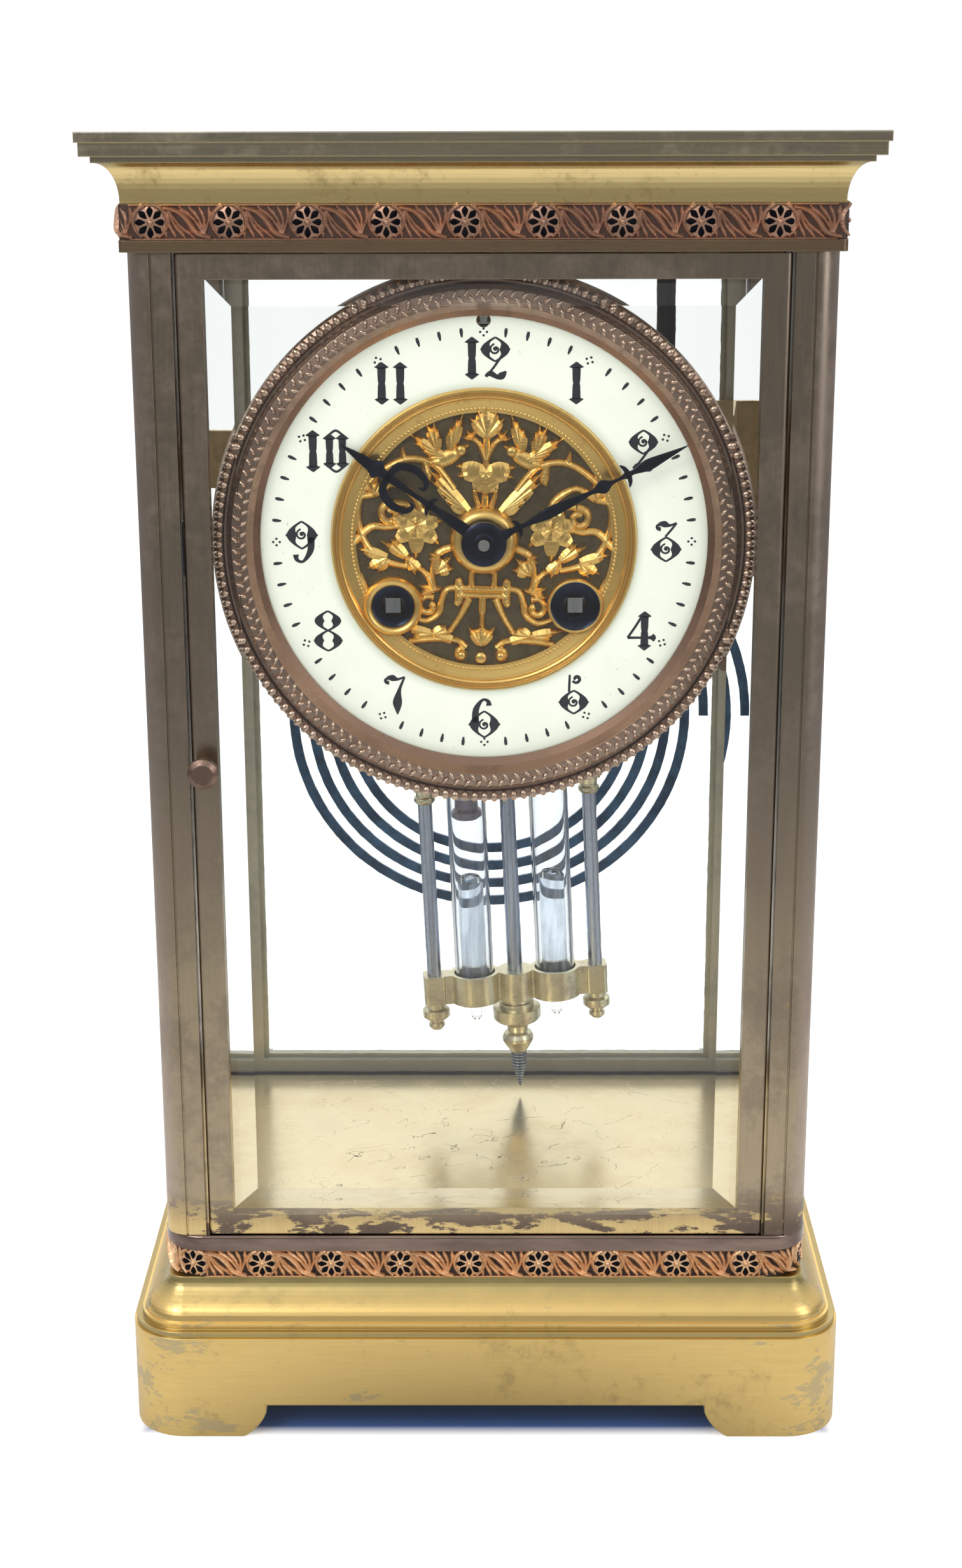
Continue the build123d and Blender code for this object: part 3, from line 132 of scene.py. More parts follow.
class Finish:
    """The node tree of one finish, and the ways nodes are added to it."""

    def __init__(self, owner, name=""):
        self.owner = owner
        self.name = name
        owner.use_nodes = True
        self.tree = owner.node_tree
        self.tree.nodes.clear()

    def node(self, kind, settings=None, sockets=None, out=0):
        made = self.tree.nodes.new("ShaderNode" + kind)
        for name, value in (settings or {}).items():
            if name == "stops":
                self.set_stops(made.color_ramp, value)
            else:
                setattr(made, name, value)
        for name, value in (sockets or {}).items():
            if isinstance(value, Amount):
                self.tree.links.new(value.socket, made.inputs[name])
            else:
                made.inputs[name].default_value = value
        return Amount(self, made.outputs[out])

    def maths(self, operation, first, second):
        return self.node("Math", {"operation": operation}, {0: first, 1: second})

    def set_stops(self, ramp, stops):
        while len(ramp.elements) < len(stops):
            ramp.elements.new(1.0)
        for element, (place, shade) in zip(ramp.elements, stops):
            element.position = place
            element.color = (shade, shade, shade, 1.0)

    def place(self, stretch=(1.0, 1.0, 1.0), centre=(0.0, 0.0, 0.0)):
        """The place on the object in millimetres, moved to a centre and stretched."""
        scale = [value / MM for value in stretch]
        start = [-value * factor for value, factor in zip(centre, scale)]
        spot = self.node("TexCoord", out="Object")
        return self.node("Mapping", sockets={"Vector": spot, "Location": start, "Scale": scale})

    def length(self, vector):
        """How long a vector is."""
        return self.node("VectorMath", {"operation": "LENGTH"}, {0: vector}, "Value")

    def noise(self, size, detail=4.0, roughness=0.55, stretch=(1.0, 1.0, 1.0)):
        """Cloudy variation whose patches are about size millimetres across."""
        return self.node("TexNoise", sockets={"Vector": self.place(stretch), "Scale": 1.0 / size,
                                              "Detail": detail, "Roughness": roughness})

    def at(self, axis):
        """How far a point lies along one axis, in millimetres."""
        return self.node("SeparateXYZ", sockets={"Vector": self.place()}, out=axis)

    def apart(self, axis):
        """How far a point lies from the middle of the clock along one axis, either way."""
        return self.maths("ABSOLUTE", self.at(axis), 0.0)

    def past(self, amount, limit, soft=1.0):
        """0 before a limit and 1 after it, with a soft step between."""
        return self.node("MapRange", sockets={"Value": amount, "From Min": limit - soft / 2,
                                              "From Max": limit + soft / 2}, out="Result")

    def outside(self, half_w, half_d, soft):
        """1 outside an upright box about the clock's axis, 0 inside it."""
        beside = self.past(self.apart("X"), half_w, soft)
        return self.maths("MAXIMUM", beside, self.past(self.apart("Y"), half_d, soft))

    def steps(self, amount, *stops):
        """Passes an amount through a ramp of (place, shade) stops."""
        return self.node("ValToRGB", {"stops": stops}, {"Fac": amount})

    def colour(self, amount, low, high):
        """Blends two colours by an amount."""
        sockets = {"Factor": amount, "A": low, "B": high}
        made = self.tree.nodes.new("ShaderNodeMix")
        made.data_type = "RGBA"
        for name, value in sockets.items():
            socket = next(s for s in made.inputs if s.name == name and s.enabled)
            if isinstance(value, Amount):
                self.tree.links.new(value.socket, socket)
            else:
                socket.default_value = value if name == "Factor" else (*value, 1.0)
        return Amount(self, next(s for s in made.outputs if s.enabled))

    def relief(self, height, depth, under=None):
        """A bump of that depth in millimetres."""
        sockets = {"Height": height, "Distance": depth * MM, "Strength": 1.0}
        if under:
            sockets["Normal"] = under
        return self.node("Bump", sockets=sockets)

    def surface(self, **sockets):
        """The Principled shader: keyword names are its sockets, with _ for a space."""
        named = {name.replace("_", " "): value for name, value in sockets.items()}
        return self.node("BsdfPrincipled", sockets=named)

    def finish(self, shader):
        """Ends the network at its shader, and keeps the finish under its name."""
        output = self.tree.nodes.new("ShaderNodeOutputMaterial")
        self.tree.links.new(shader.socket, output.inputs["Surface"])
        FINISHES[self.name] = self.owner


def start(name):
    """A new material ready to be mixed."""
    return Finish(bpy.data.materials.new(name), name)


FINISHES = {}

# %% [markdown]
# ## Brass
# Nearly everything is brass, but no two parts have aged alike. One recipe serves them all: a clean
# colour, a tarnish that spreads in clouds and spots, fine polishing lines along one direction, and
# worn bright edges. The edge is found by comparing the true normal with one rounded by the Bevel
# node, which also lets every sharp edge catch a thin line of light as real metal does.

# %% Brass recipe
def aged_brass(name, clean, tarnish, stain, cover, rough=0.3, brushed=(0.05, 1.0, 1.0), wear=0.6,
               patch=14.0, grain=0.012, edge=0.35, zones=()):
    """Brass from three colours; cover is how much of it has dulled, from 0 to 1.

    A zone is a place with a colour of its own, aged or painted with light and shade: what finds the place,
    and its colour there."""
    mix = start(name)
    clouds = mix.noise(patch, 6.0, 0.62)
    spots = mix.noise(patch / 7, 5.0, 0.7)
    lines = mix.noise(0.5, 3.0, 0.6, brushed)
    dulled = mix.steps(clouds * 0.7 + spots * 0.3,
                       (0.62 - cover * 0.35, 0.0), (0.74 - cover * 0.3, 1.0))
    stained = mix.steps(spots * 0.6 + clouds * 0.4, (0.56, 0.0), (0.68, 1.0))
    rounded = mix.node("Bevel", {"samples": 4}, {"Radius": edge * MM})
    flat = mix.node("NewGeometry", out="Normal")
    turned = 1 - mix.node("VectorMath", {"operation": "DOT_PRODUCT"}, {0: rounded, 1: flat}, "Value")
    edge_wear = mix.steps(turned * 6 * wear, (0.1, 0.0), (0.7, 1.0))
    body = mix.colour(dulled * (1 - edge_wear * 0.8), clean, tarnish)
    body = mix.colour(stained * 0.75 * (1 - edge_wear), body, stain)
    for where, shade in zones:
        body = mix.colour(where(mix) * (1 - edge_wear * 0.7), body, shade)
    body = mix.colour(lines * 0.35, body, [value * 0.62 for value in clean])
    rough_map = dulled * 0.14 + lines * 0.16 + spots * 0.06 + (rough - 0.12)
    height = lines * 0.6 + spots * 0.8
    mix.finish(mix.surface(Base_Color=body, Metallic=1.0, Roughness=rough_map,
                           Normal=mix.relief(height, grain, rounded)))


# %% [markdown]
# ## Places that age in their own way, or are painted with light and shade
# Hands, polish and dust reach some places and not others, and a few places are given painted shade
# or a painted highlight. Each function below finds one such place: it gives 1 there and 0 elsewhere.
# Heights are above the table and the rest are distances from the middle of the clock, all in
# millimetres.

# %% Zones
STEP_FOOT = 24.9
STEP_HEAD = 26.4
FRIEZE_SHADE_FOOT = 33.4
RAIL_TOP = 53.0
POLISHED_TO = 205.0
HOLLOW_HEAD = 281.9
SLAB_FOOT = 283.0
SLAB_HEAD = 288.7
POST_MIDDLE = 69.5
CORNER_ACROSS = 62.0
CORNER_DEEP = 42.0
BRAID_INSIDE = 50.4
ARBOR_END = -39.5


def slab_of_cornice(mix):
    """The square top of the cornice, above its hollow."""
    return mix.past(mix.at("Z"), SLAB_FOOT, 0.6)


def top_of_cornice(mix):
    """The flat top, painted pale as a highlight from the light above."""
    return mix.past(mix.at("Z"), SLAB_HEAD, 0.2)


def under_slab(mix):
    """The top of the hollow just under the slab, darkened with painted shade."""
    return mix.past(mix.at("Z"), HOLLOW_HEAD, 1.0) * 0.8


def under_frieze(mix):
    """The upper part of the base moulding under the frieze, darkened with painted shade."""
    return mix.past(mix.at("Z") + mix.noise(5.0) * 2, FRIEZE_SHADE_FOOT, 4.0) * 0.85


def plinth_step(mix):
    """The narrow groove between the two bright lines on top of the plinth, darkened with painted shade."""
    below = 1 - mix.past(mix.at("Z"), STEP_HEAD, 0.3)
    return mix.past(mix.at("Z"), STEP_FOOT, 0.3) * below * 0.85


def rubbed_foot(mix):
    """Ragged patches at the foot of the plinth's corners, where it is lifted."""
    ragged = mix.noise(7.0, 9.0, 0.72, (0.4, 1.0, 1.0))
    corner = mix.past(mix.apart("X"), CORNER_ACROSS, 36.0) * mix.past(mix.apart("Y"), CORNER_DEEP, 26.0)
    return mix.past(ragged + corner * 0.17, 0.67, 0.02)


def outer_post(mix):
    """The outer half of each post, a paler pinkish brown painted as a highlight."""
    return mix.past(mix.apart("X"), POST_MIDDLE, 2.5) * 0.6


def lower_door(mix):
    """The bottom rail of a door, in the grip of old polish."""
    return 1 - mix.past(mix.at("Z"), RAIL_TOP, 9.0)


def rubbed_rail(mix):
    """The bottom rail of a door, rubbed back to bright metal in ragged patches."""
    ragged = mix.noise(9.0, 9.0, 0.7, (0.35, 1.0, 1.0))
    return mix.past(ragged, 0.49, 0.02) * lower_door(mix)


def upper_door(mix):
    """The upper part of the posts and doors, which nobody polishes; it ends in long streaks."""
    streaks = mix.noise(16.0, 6.0, 0.65, (1.0, 1.0, 0.1))
    return mix.past(mix.at("Z") + streaks * 150, POLISHED_TO, 75.0) * 0.85


def hollow_of_bezel(mix):
    """The smooth hollow between the enamel and the braid, darkened with painted shade."""
    return 1 - mix.past(mix.length(mix.place((1.0, 0.0, 1.0), DIAL)), BRAID_INSIDE, 0.6)


def arbor_tip(mix):
    """The end of the centre arbor, in front of the hands."""
    return 1 - mix.past(mix.at("Y"), ARBOR_END, 0.5)


# %% [markdown]
# ## The metals of the clock
# The plinth and cornice are golden and brushed, with brown clouds. The corner posts and the door
# frames have gone a dark grey purple-brown with gold showing where hands have rubbed. The friezes
# are copper, red below and darker above. The floor of the case is the brightest, a satin mirror
# under scratched lacquer.

# %% Brass and copper
GOLD = (0.86, 0.61, 0.23)
PALE_GOLD = (0.93, 0.78, 0.5)
BROWN = (0.46, 0.32, 0.17)
UMBER = (0.2, 0.13, 0.075)
SIDEWAYS = (0.04, 0.04, 1.0)
UPWARDS = (1.0, 1.0, 0.05)
SCRATCHED = (46.0, 34.0)
GLASS_LINE = (66.5, 43.0)

# The base's finish paints shade under the frieze and in the groove on top of the plinth; its rubbed feet are
# wear.
aged_brass("base_brass", GOLD, (0.73, 0.52, 0.2), (0.52, 0.38, 0.17), 0.25, rough=0.32,
           brushed=SIDEWAYS, wear=1.5, patch=24.0, edge=0.4,
           zones=[(rubbed_foot, (0.6, 0.48, 0.26)), (under_frieze, (0.36, 0.31, 0.14)),
                  (plinth_step, (0.34, 0.28, 0.13))])
# The cornice's finish paints shade just under the slab and a pale highlight on its flat top; the grey of the
# slab is patina.
aged_brass("cornice_brass", (1.0, 0.78, 0.36), (0.74, 0.56, 0.24), (0.42, 0.34, 0.17), 0.3, rough=0.28,
           brushed=SIDEWAYS, wear=2.0, edge=0.35,
           zones=[(under_slab, (0.27, 0.23, 0.13)), (slab_of_cornice, (0.42, 0.38, 0.3)),
                  (top_of_cornice, (0.96, 0.94, 0.9))])
aged_brass("edge_brass", (0.42, 0.3, 0.18), (0.26, 0.18, 0.12), UMBER, 0.5, rough=0.26)
aged_brass("copper_frieze", (0.9, 0.58, 0.34), (0.72, 0.43, 0.25), (0.42, 0.24, 0.15), 0.3,
           rough=0.46, patch=9.0, edge=0.2)
aged_brass("dark_copper", (0.66, 0.4, 0.28), (0.43, 0.27, 0.2), (0.27, 0.17, 0.14), 0.5,
           rough=0.44, patch=9.0, edge=0.2)
# This finish paints a highlight on the outer half of each post.
aged_brass("patina_brass", (0.52, 0.42, 0.28), (0.36, 0.29, 0.22), (0.62, 0.45, 0.22), 0.45, rough=0.3,
           brushed=UPWARDS, patch=18.0,
           zones=[(upper_door, (0.32, 0.26, 0.215)), (outer_post, (0.62, 0.5, 0.44)),
                  (lower_door, (0.15, 0.105, 0.085)), (rubbed_rail, (0.92, 0.68, 0.3))])
aged_brass("rear_brass", (0.6, 0.55, 0.42), (0.46, 0.43, 0.37), (0.52, 0.41, 0.24), 0.45, rough=0.42,
           brushed=UPWARDS, patch=18.0, zones=[(lower_door, (0.2, 0.2, 0.19))])
aged_brass("knob_brass", (0.3, 0.2, 0.15), (0.19, 0.13, 0.11), UMBER, 0.5, rough=0.34, patch=3.0)
# The bezel's finish paints shade in the hollow inside the braid.
aged_brass("bezel_brass", (0.42, 0.29, 0.22), (0.3, 0.2, 0.155), (0.2, 0.13, 0.1), 0.4, rough=0.3,
           patch=8.0, edge=0.12, zones=[(hollow_of_bezel, (0.33, 0.19, 0.13))])
# A lighter copy of the bezel's brass for the beads and braid: a painted highlight.
aged_brass("bead_brass_highlit", (0.78, 0.57, 0.44), (0.5, 0.34, 0.26), (0.26, 0.17, 0.13), 0.4, rough=0.3,
           patch=4.0, edge=0.08)
aged_brass("gilt", (0.97, 0.63, 0.2), (0.76, 0.47, 0.13), (0.54, 0.33, 0.11), 0.3, rough=0.32,
           patch=5.0, grain=0.02, edge=0.15)
aged_brass("pan_brass", (0.2, 0.155, 0.09), (0.13, 0.1, 0.06), (0.09, 0.07, 0.05), 0.5, rough=0.5,
           patch=4.0)
aged_brass("frieze_ground", (0.08, 0.055, 0.045), (0.045, 0.035, 0.035), (0.02, 0.02, 0.025), 0.5,
           rough=0.45, patch=3.0)
aged_brass("dark_ground", (0.17, 0.11, 0.09), (0.12, 0.08, 0.07), (0.08, 0.055, 0.05), 0.5,
           rough=0.45, patch=5.0)
aged_brass("movement_brass", (0.76, 0.56, 0.27), BROWN, UMBER, 0.2, rough=0.28,
           brushed=(1.0, 1.0, 0.08), edge=0.15, zones=[(arbor_tip, (0.6, 0.6, 0.62))])
aged_brass("bracket_brass", (0.5, 0.37, 0.19), BROWN, UMBER, 0.5, rough=0.35)
aged_brass("pendulum_brass", (0.72, 0.66, 0.46), (0.55, 0.47, 0.35), (0.36, 0.28, 0.22), 0.4,
           rough=0.32, patch=5.0, edge=0.25)


def lacquered_floor():
    """Pale satin brass under lacquer with hairline scratches, and a brown lip outside the glass."""
    mix = start("floor_brass")
    warp = mix.noise(9.0, 3.0)
    bent = mix.node("VectorMath", {"operation": "ADD"}, {0: mix.place((0.05, 0.05, 0.05)), 1: warp})
    crack = mix.node("TexVoronoi", {"feature": "DISTANCE_TO_EDGE"}, {"Vector": bent, "Scale": 1.6})
    scratched = mix.past(mix.noise(6.0, 3.0), 0.5, 0.05) * (1 - mix.outside(*SCRATCHED, 30.0))
    line = mix.steps(crack, (0.0, 1.0), (0.012, 0.0)) * scratched
    clouds = mix.noise(16.0, 5.0, 0.6)
    body = mix.colour(mix.steps(clouds, (0.45, 0.0), (0.8, 0.7)), PALE_GOLD, (0.66, 0.5, 0.27))
    body = mix.colour(line, body, (0.12, 0.1, 0.08))
    lip = mix.outside(*GLASS_LINE, 0.5)
    streaks = mix.steps(mix.noise(8.0, 5.0, 0.6, (0.2, 1.0, 1.0)), (0.4, 0.0), (0.65, 1.0))
    body = mix.colour(lip, body, mix.colour(streaks, (0.16, 0.11, 0.095), (0.32, 0.235, 0.19)))
    mix.finish(mix.surface(Base_Color=body, Metallic=1.0, Roughness=clouds * 0.2 + line * 0.3 + 0.12,
                           Normal=mix.relief(1 - line, 0.02)))


lacquered_floor()
print("brass finishes:", sorted(FINISHES))

# %% [markdown]
# ## Steel and iron
# The hands and screws are blued: polished steel heated until it turns blue-black. The gong is the
# same steel left darker, its block is iron, and the pendulum's rods are plain grey steel with a
# cold sheen. Steel is metallic too, so only its colours and the way it is drawn or turned differ.
# The pendulum's point is cut with a thread, which is drawn as ridges below a height, with painted shade in
# the grooves between them.

# %% Steel recipe
THREAD = 0.8
THREAD_HEAD = 58.5


def drawn_steel(name, light, dark, rough, along=(1.0, 1.0, 0.04), rust=0.0, size=3.0,
                thread_top=None):
    """Steel streaked along its length, with an optional brown bloom, and a thread below a height with
    painted shade in its grooves.
    """
    mix = start(name)
    streaks = mix.noise(size, 4.0, 0.6, along)
    specks = mix.noise(1.3, 5.0, 0.7)
    body = mix.colour(mix.steps(streaks, (0.35, 0.0), (0.7, 1.0)), dark, light)
    if rust:
        body = mix.colour(mix.steps(specks, (0.5, 0.0), (0.75, rust)), body, (0.13, 0.07, 0.04))
    rounded = mix.node("Bevel", {"samples": 4}, {"Radius": 0.12 * MM})
    if thread_top:
        cut = 1 - mix.past(mix.at("Z"), thread_top, 0.2)
        ridges = mix.node("TexWave", {"bands_direction": "Z"},
                          {"Vector": mix.place(), "Scale": math.tau / 20 / THREAD}, "Fac")
        # Painted shade: the thread's grooves are darkened, its crests less so.
        body = mix.colour(cut * (1 - ridges * 0.7), body, (0.03, 0.04, 0.06))
        rounded = mix.relief(ridges * cut, 0.25, rounded)
    mix.finish(mix.surface(Base_Color=body, Metallic=1.0, Roughness=specks * 0.2 + (rough - 0.1),
                           Normal=mix.relief(streaks * 0.5 + specks * 0.5, 0.008, rounded)))


drawn_steel("arbor_steel", (0.62, 0.62, 0.62), (0.4, 0.4, 0.41), 0.22)
drawn_steel("screw_steel", (0.3, 0.3, 0.33), (0.13, 0.14, 0.17), 0.3, rust=0.6)
drawn_steel("blued_steel", (0.028, 0.034, 0.06), (0.012, 0.014, 0.026), 0.24)
drawn_steel("gong_steel", (0.07, 0.15, 0.27), (0.025, 0.055, 0.105), 0.36, (1.0, 1.0, 1.0),
            rust=0.15, size=6.0)
drawn_steel("gong_iron", (0.075, 0.075, 0.08), (0.03, 0.03, 0.034), 0.5, rust=0.5)
drawn_steel("rod_steel", (0.6, 0.65, 0.75), (0.33, 0.37, 0.46), 0.3, rust=0.2, thread_top=THREAD_HEAD)
# Painted shade: this black is laid where an opening would show only shade.
drawn_steel("opening_black", (0.02, 0.018, 0.02), (0.008, 0.008, 0.012), 0.6)

# %% [markdown]
# ## Enamel
# The dial is copper with glass fired over it in white coats. Its surface is glossy, its white is
# warm with a trace of green, and it has a few specks from the kiln. Towards both rims it darkens,
# partly where it thins over the rolled rims and partly by painted shade from the bezel and the
# raised gilt ring. A clear coat over a white body gives the depth of fired glass.

# %% Enamel
def fired_enamel():
    """White enamel, darker towards both rims of the ring, from thinner enamel and from painted shade."""
    mix = start("enamel")
    outward = mix.length(mix.place((1.0, 0.0, 1.0), DIAL))
    # Darker towards both rims: partly the thinner enamel over the rolled rims, partly painted shade from the
    # bezel and the gilt ring.
    rim = mix.steps(outward * 0.01, (0.3, 1.0), (0.345, 0.0), (0.455, 0.0), (0.51, 1.0))
    mottle = mix.noise(7.0, 4.0, 0.5)
    kiln = mix.steps(mix.noise(0.9, 2.0, 0.6), (0.73, 0.0), (0.76, 1.0))
    body = mix.colour(rim, (0.92, 0.93, 0.82), (0.46, 0.5, 0.4))
    body = mix.colour(mix.steps(mottle, (0.4, 0.0), (0.75, 0.35)), body, (0.8, 0.84, 0.68))
    body = mix.colour(kiln * 0.5, body, (0.45, 0.34, 0.18))
    mix.finish(mix.surface(Base_Color=body, Roughness=0.24, Coat_Weight=0.6, Coat_Roughness=0.05,
                           Normal=mix.relief(mottle, 0.03)))


fired_enamel()

# %% [markdown]
# ## Glass
# The panes are real solids with a wide bevel ground round each, which bends what is seen through
# it. A ray that only carries light, shadow or a reflection passes straight through instead, so
# that the inside stays bright, and a faint green tint gives the old glass its cut edge. The
# capsules in the pendulum's tubes are glass too, streaked with silver under a dark metal plug.

# %% Glass
def clear_glass(name, tint, rough, film=0.02):
    """Glass that refracts what is seen and lets light itself pass."""
    mix = start(name)
    smears = mix.noise(22.0, 4.0, 0.6)
    lens = mix.node("BsdfGlass", sockets={"Color": (*tint, 1.0), "Roughness": rough, "IOR": 1.5,
                                          "Normal": mix.relief(smears, film)})
    through = mix.node("BsdfTransparent", sockets={"Color": (*tint, 1.0)})
    looked_at = mix.maths("MAXIMUM", mix.node("LightPath", out="Is Camera Ray"),
                          mix.node("LightPath", out="Is Transmission Ray"))
    shadow = mix.node("LightPath", out="Is Shadow Ray")
    seen = looked_at * (1 - shadow)
    mix.finish(mix.node("MixShader", sockets={0: seen, 1: through, 2: lens}))


clear_glass("pane_glass", (0.985, 0.995, 0.99), 0.0)
clear_glass("tube_glass", (0.985, 0.99, 1.0), 0.0)
PLUG_FOOT = 112.0


def capsule(name, plug_bottom):
    """Clear glass with silvery upright streaks, and dark stepped metal above a height."""
    mix = start(name)
    streaks = mix.steps(mix.noise(1.6, 4.0, 0.6, (1.0, 1.0, 0.06)), (0.46, 0.0), (0.62, 0.75))
    plug = mix.past(mix.at("Z"), plug_bottom, 0.5)
    shade = mix.colour(plug, (0.52, 0.58, 0.68), (0.17, 0.145, 0.17))
    metal = mix.surface(Base_Color=shade, Metallic=0.6, Roughness=streaks * 0.15 + 0.2)
    glass = mix.node("BsdfGlass", sockets={"Color": (0.9, 0.94, 0.98, 1.0), "Roughness": 0.0,
                                           "IOR": 1.5})
    solid = mix.maths("MAXIMUM", plug, streaks * 0.6)
    mix.finish(mix.node("MixShader", sockets={0: solid, 1: glass, 2: metal}))


capsule("capsule_glass", PLUG_FOOT)

# %% [markdown]
# ## Dressing the parts
# Each part names the finish that it takes in its material slot, so one loop dresses them all, and
# prints any slot that has no finish yet. A few parts take a finish of their own and are listed; the
# cornice's holds painted shade under its slab and a painted highlight on its top.

# %% Dress the parts
OWN_FINISH_PARTS = {"base_frieze": "frieze_ground", "top_frieze": "dark_ground", "cornice": "cornice_brass",
              "rear_door_frame": "rear_brass"}
undressed = set()
for part in nodes.values():
    for slot in part.material_slots:
        wanted = OWN_FINISH_PARTS.get(part.name, slot.material.name.split(".")[0])
        if wanted in FINISHES:
            slot.material = FINISHES[wanted]
        else:
            undressed.add(wanted)
print("slots with no finish:", sorted(undressed))

# %% [markdown]
# ## Bars, the one shape behind all the ornament
# Cast vines, engraved leaves, painted numerals and spear-shaped hands are all strokes: a small
# section carried along a flowing line, swelling and thinning on the way. One helper draws them. It
# makes the section as one face, then extrudes that face from place to place along the line, and
# each extrusion is moved, turned and scaled to the width wanted there. Ornament is drawn flat, in
# millimetres, with u to the right, v up and w towards the eye, and is put in its place afterwards.

# %% Bars
HALF_ROUND = [(-1.0, 0.0), (-0.8, 0.55), (0.0, 1.0), (0.8, 0.55), (1.0, 0.0)]
ROOF = [(-1.0, 0.0), (-1.0, 0.35), (0.0, 1.0), (1.0, 0.35), (1.0, 0.0)]
FLAT = [(-1.0, 0.0), (-1.0, 0.7), (-0.85, 1.0), (0.85, 1.0), (1.0, 0.7), (1.0, 0.0)]


def flow(points, steps):
    """A smooth line through (u, v, width) points; the width flows along with it."""
    knots = [Vector(point) for point in points]
    ends = [knots[0], *knots, knots[-1]]
    line = [knots[0]]
    for before, here, there, after in zip(ends, ends[1:], ends[2:], ends[3:]):
        handle, other = here + (there - before) / 6, there - (after - here) / 6
        line += interpolate_bezier(here, handle, other, there, steps + 1)[1:]
    return line


def stand(point, heading, height, base):
    """The frame of a section: across the line, towards the eye, and along the line."""
    along = Vector((heading.x, heading.y, 0.0)).normalized()
    across = Vector((along.y, -along.x, 0.0)) * point.z / 2
    lift = Vector((0.0, 0.0, height * min(1.0, 0.45 + point.z)))
    placed = Matrix((across, lift, along)).transposed().to_4x4()
    placed.translation = (point.x, point.y, base)
    return placed


def repeat(bm, small, *moves):
    """Adds a small shape to a piece, once for each move."""
    shape = bpy.data.meshes.new("shape")
    small.to_mesh(shape)
    small.free()
    for move in moves or [Matrix()]:
        copy = shape.copy()
        copy.transform(move)
        bm.from_mesh(copy)
        bpy.data.meshes.remove(copy)
    bpy.data.meshes.remove(shape)


def bar(bm, points, height=0.8, base=0.0, section=HALF_ROUND, steps=4):
    """One stroke of ornament through (u, v, width) points."""
    line = flow(points, steps)
    ahead = line[1:] + line[-1:]
    behind = line[:1] + line[:-1]
    frames = [stand(here, there - back, height, base)
              for here, there, back in zip(line, ahead, behind)]
    stroke = bmesh.new()
    outline = [stroke.verts.new(frames[0] @ Vector((*corner, 0.0))) for corner in section]
    end = stroke.faces.new(outline)
    for before, after in zip(frames, frames[1:]):
        grown = bmesh.ops.extrude_face_region(stroke, geom=[end])["geom"]
        end = next(part for part in grown if isinstance(part, bmesh.types.BMFace))
        corners = [part for part in grown if isinstance(part, bmesh.types.BMVert)]
        bmesh.ops.transform(stroke, matrix=after @ before.inverted(), verts=corners)
    repeat(bm, stroke)


def curl(centre, radius, start, turns, wide, narrow, inner=0.15):
    """Points of a scroll that winds in to its centre; positive turns run anticlockwise."""
    count = max(4, int(abs(turns) * 8))
    points = []
    for step in range(count + 1):
        done = step / count
        angle = math.radians(start + turns * 360 * done)
        reach = radius * (1 - done * (1 - inner))
        points.append((centre[0] + reach * math.cos(angle), centre[1] + reach * math.sin(angle),
                       wide + (narrow - wide) * done))
    return points


def ball(bm, centre, radius, flatten=1.0, finer=2):
    """A small ball, or a boss when flattened."""
    small = bmesh.new()
    bmesh.ops.create_icosphere(small, subdivisions=finer, radius=radius)
    repeat(bm, small, Matrix.Translation(centre) @ Matrix.Diagonal((1.0, 1.0, flatten, 1.0)))


def lathe(bm, outline, steps=96, at=(0.0, 0.0)):
    """Spins a closed (radius, w) outline about an axis that points to the eye."""
    turned = bmesh.new()
    corners = [turned.verts.new((radius, 0.0, height)) for radius, height in outline]
    edges = [turned.edges.new(pair) for pair in zip(corners, corners[1:] + corners[:1])]
    bmesh.ops.spin(turned, geom=corners + edges, axis=(0.0, 0.0, 1.0), cent=(0.0, 0.0, 0.0),
                   angle=math.tau, steps=steps, use_merge=True)
    repeat(bm, turned, Matrix.Translation((*at, 0.0)))


def turned_by(degrees):
    """A turn about the middle of the dial, anticlockwise."""
    return Matrix.Rotation(math.radians(degrees), 4, "Z")


def moved_by(u, v):
    return Matrix.Translation((u, v, 0.0))


MIRROR = Matrix.Diagonal((-1.0, 1.0, 1.0, 1.0))


def make(name, bm, finish, body, stands_for=(), smooth=40.0):
    """Makes the finished piece, lets it ride on its body and dresses it."""
    bmesh.ops.recalc_face_normals(bm, faces=bm.faces)
    mesh = bpy.data.meshes.new(name)
    bm.to_mesh(mesh)
    bm.free()
    mesh.shade_smooth()
    mesh.set_sharp_from_angle(angle=math.radians(smooth))
    mesh.materials.append(FINISHES[finish])
    piece = bpy.data.objects.new(name, mesh)
    bpy.context.scene.collection.objects.link(piece)
    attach(piece, body)
    if stands_for:
        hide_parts(*stands_for)
    print(name, len(mesh.polygons), "faces")
    return piece


def on_dial(bm, lift=0.0):
    """Carries flat ornament to the dial; lift is how far it stands in front of the enamel."""
    place = Matrix(((MM, 0, 0, DIAL.x), (0, 0, -MM, DIAL_FRONT - lift * MM),
                    (0, MM, 0, DIAL.z), (0, 0, 0, 1)))
    bmesh.ops.transform(bm, matrix=place, verts=bm.verts)


# %% [markdown]
# ## The numerals
# They were painted on the fired enamel in black, upright all round the dial. The style is a
# picture-book blackletter: spear-ended uprights, round forms that swell to a point at each side,
# and a curl inside every bowl. Each numeral is a few strokes, a few hundredths of a millimetre high.

# %% Numerals
INK = 0.05
BRUSH = 1.3
NUMERAL_RADIUS = 38.7
NUMERAL_SCALE = 1.13
DOT = 0.3


def ink(bm, *points, steps=4):
    """A painted stroke, a little fuller than it is drawn, as a loaded brush leaves it."""
    bar(bm, [(u, v, width * BRUSH + 0.08) for u, v, width in points], INK, section=FLAT, steps=steps)


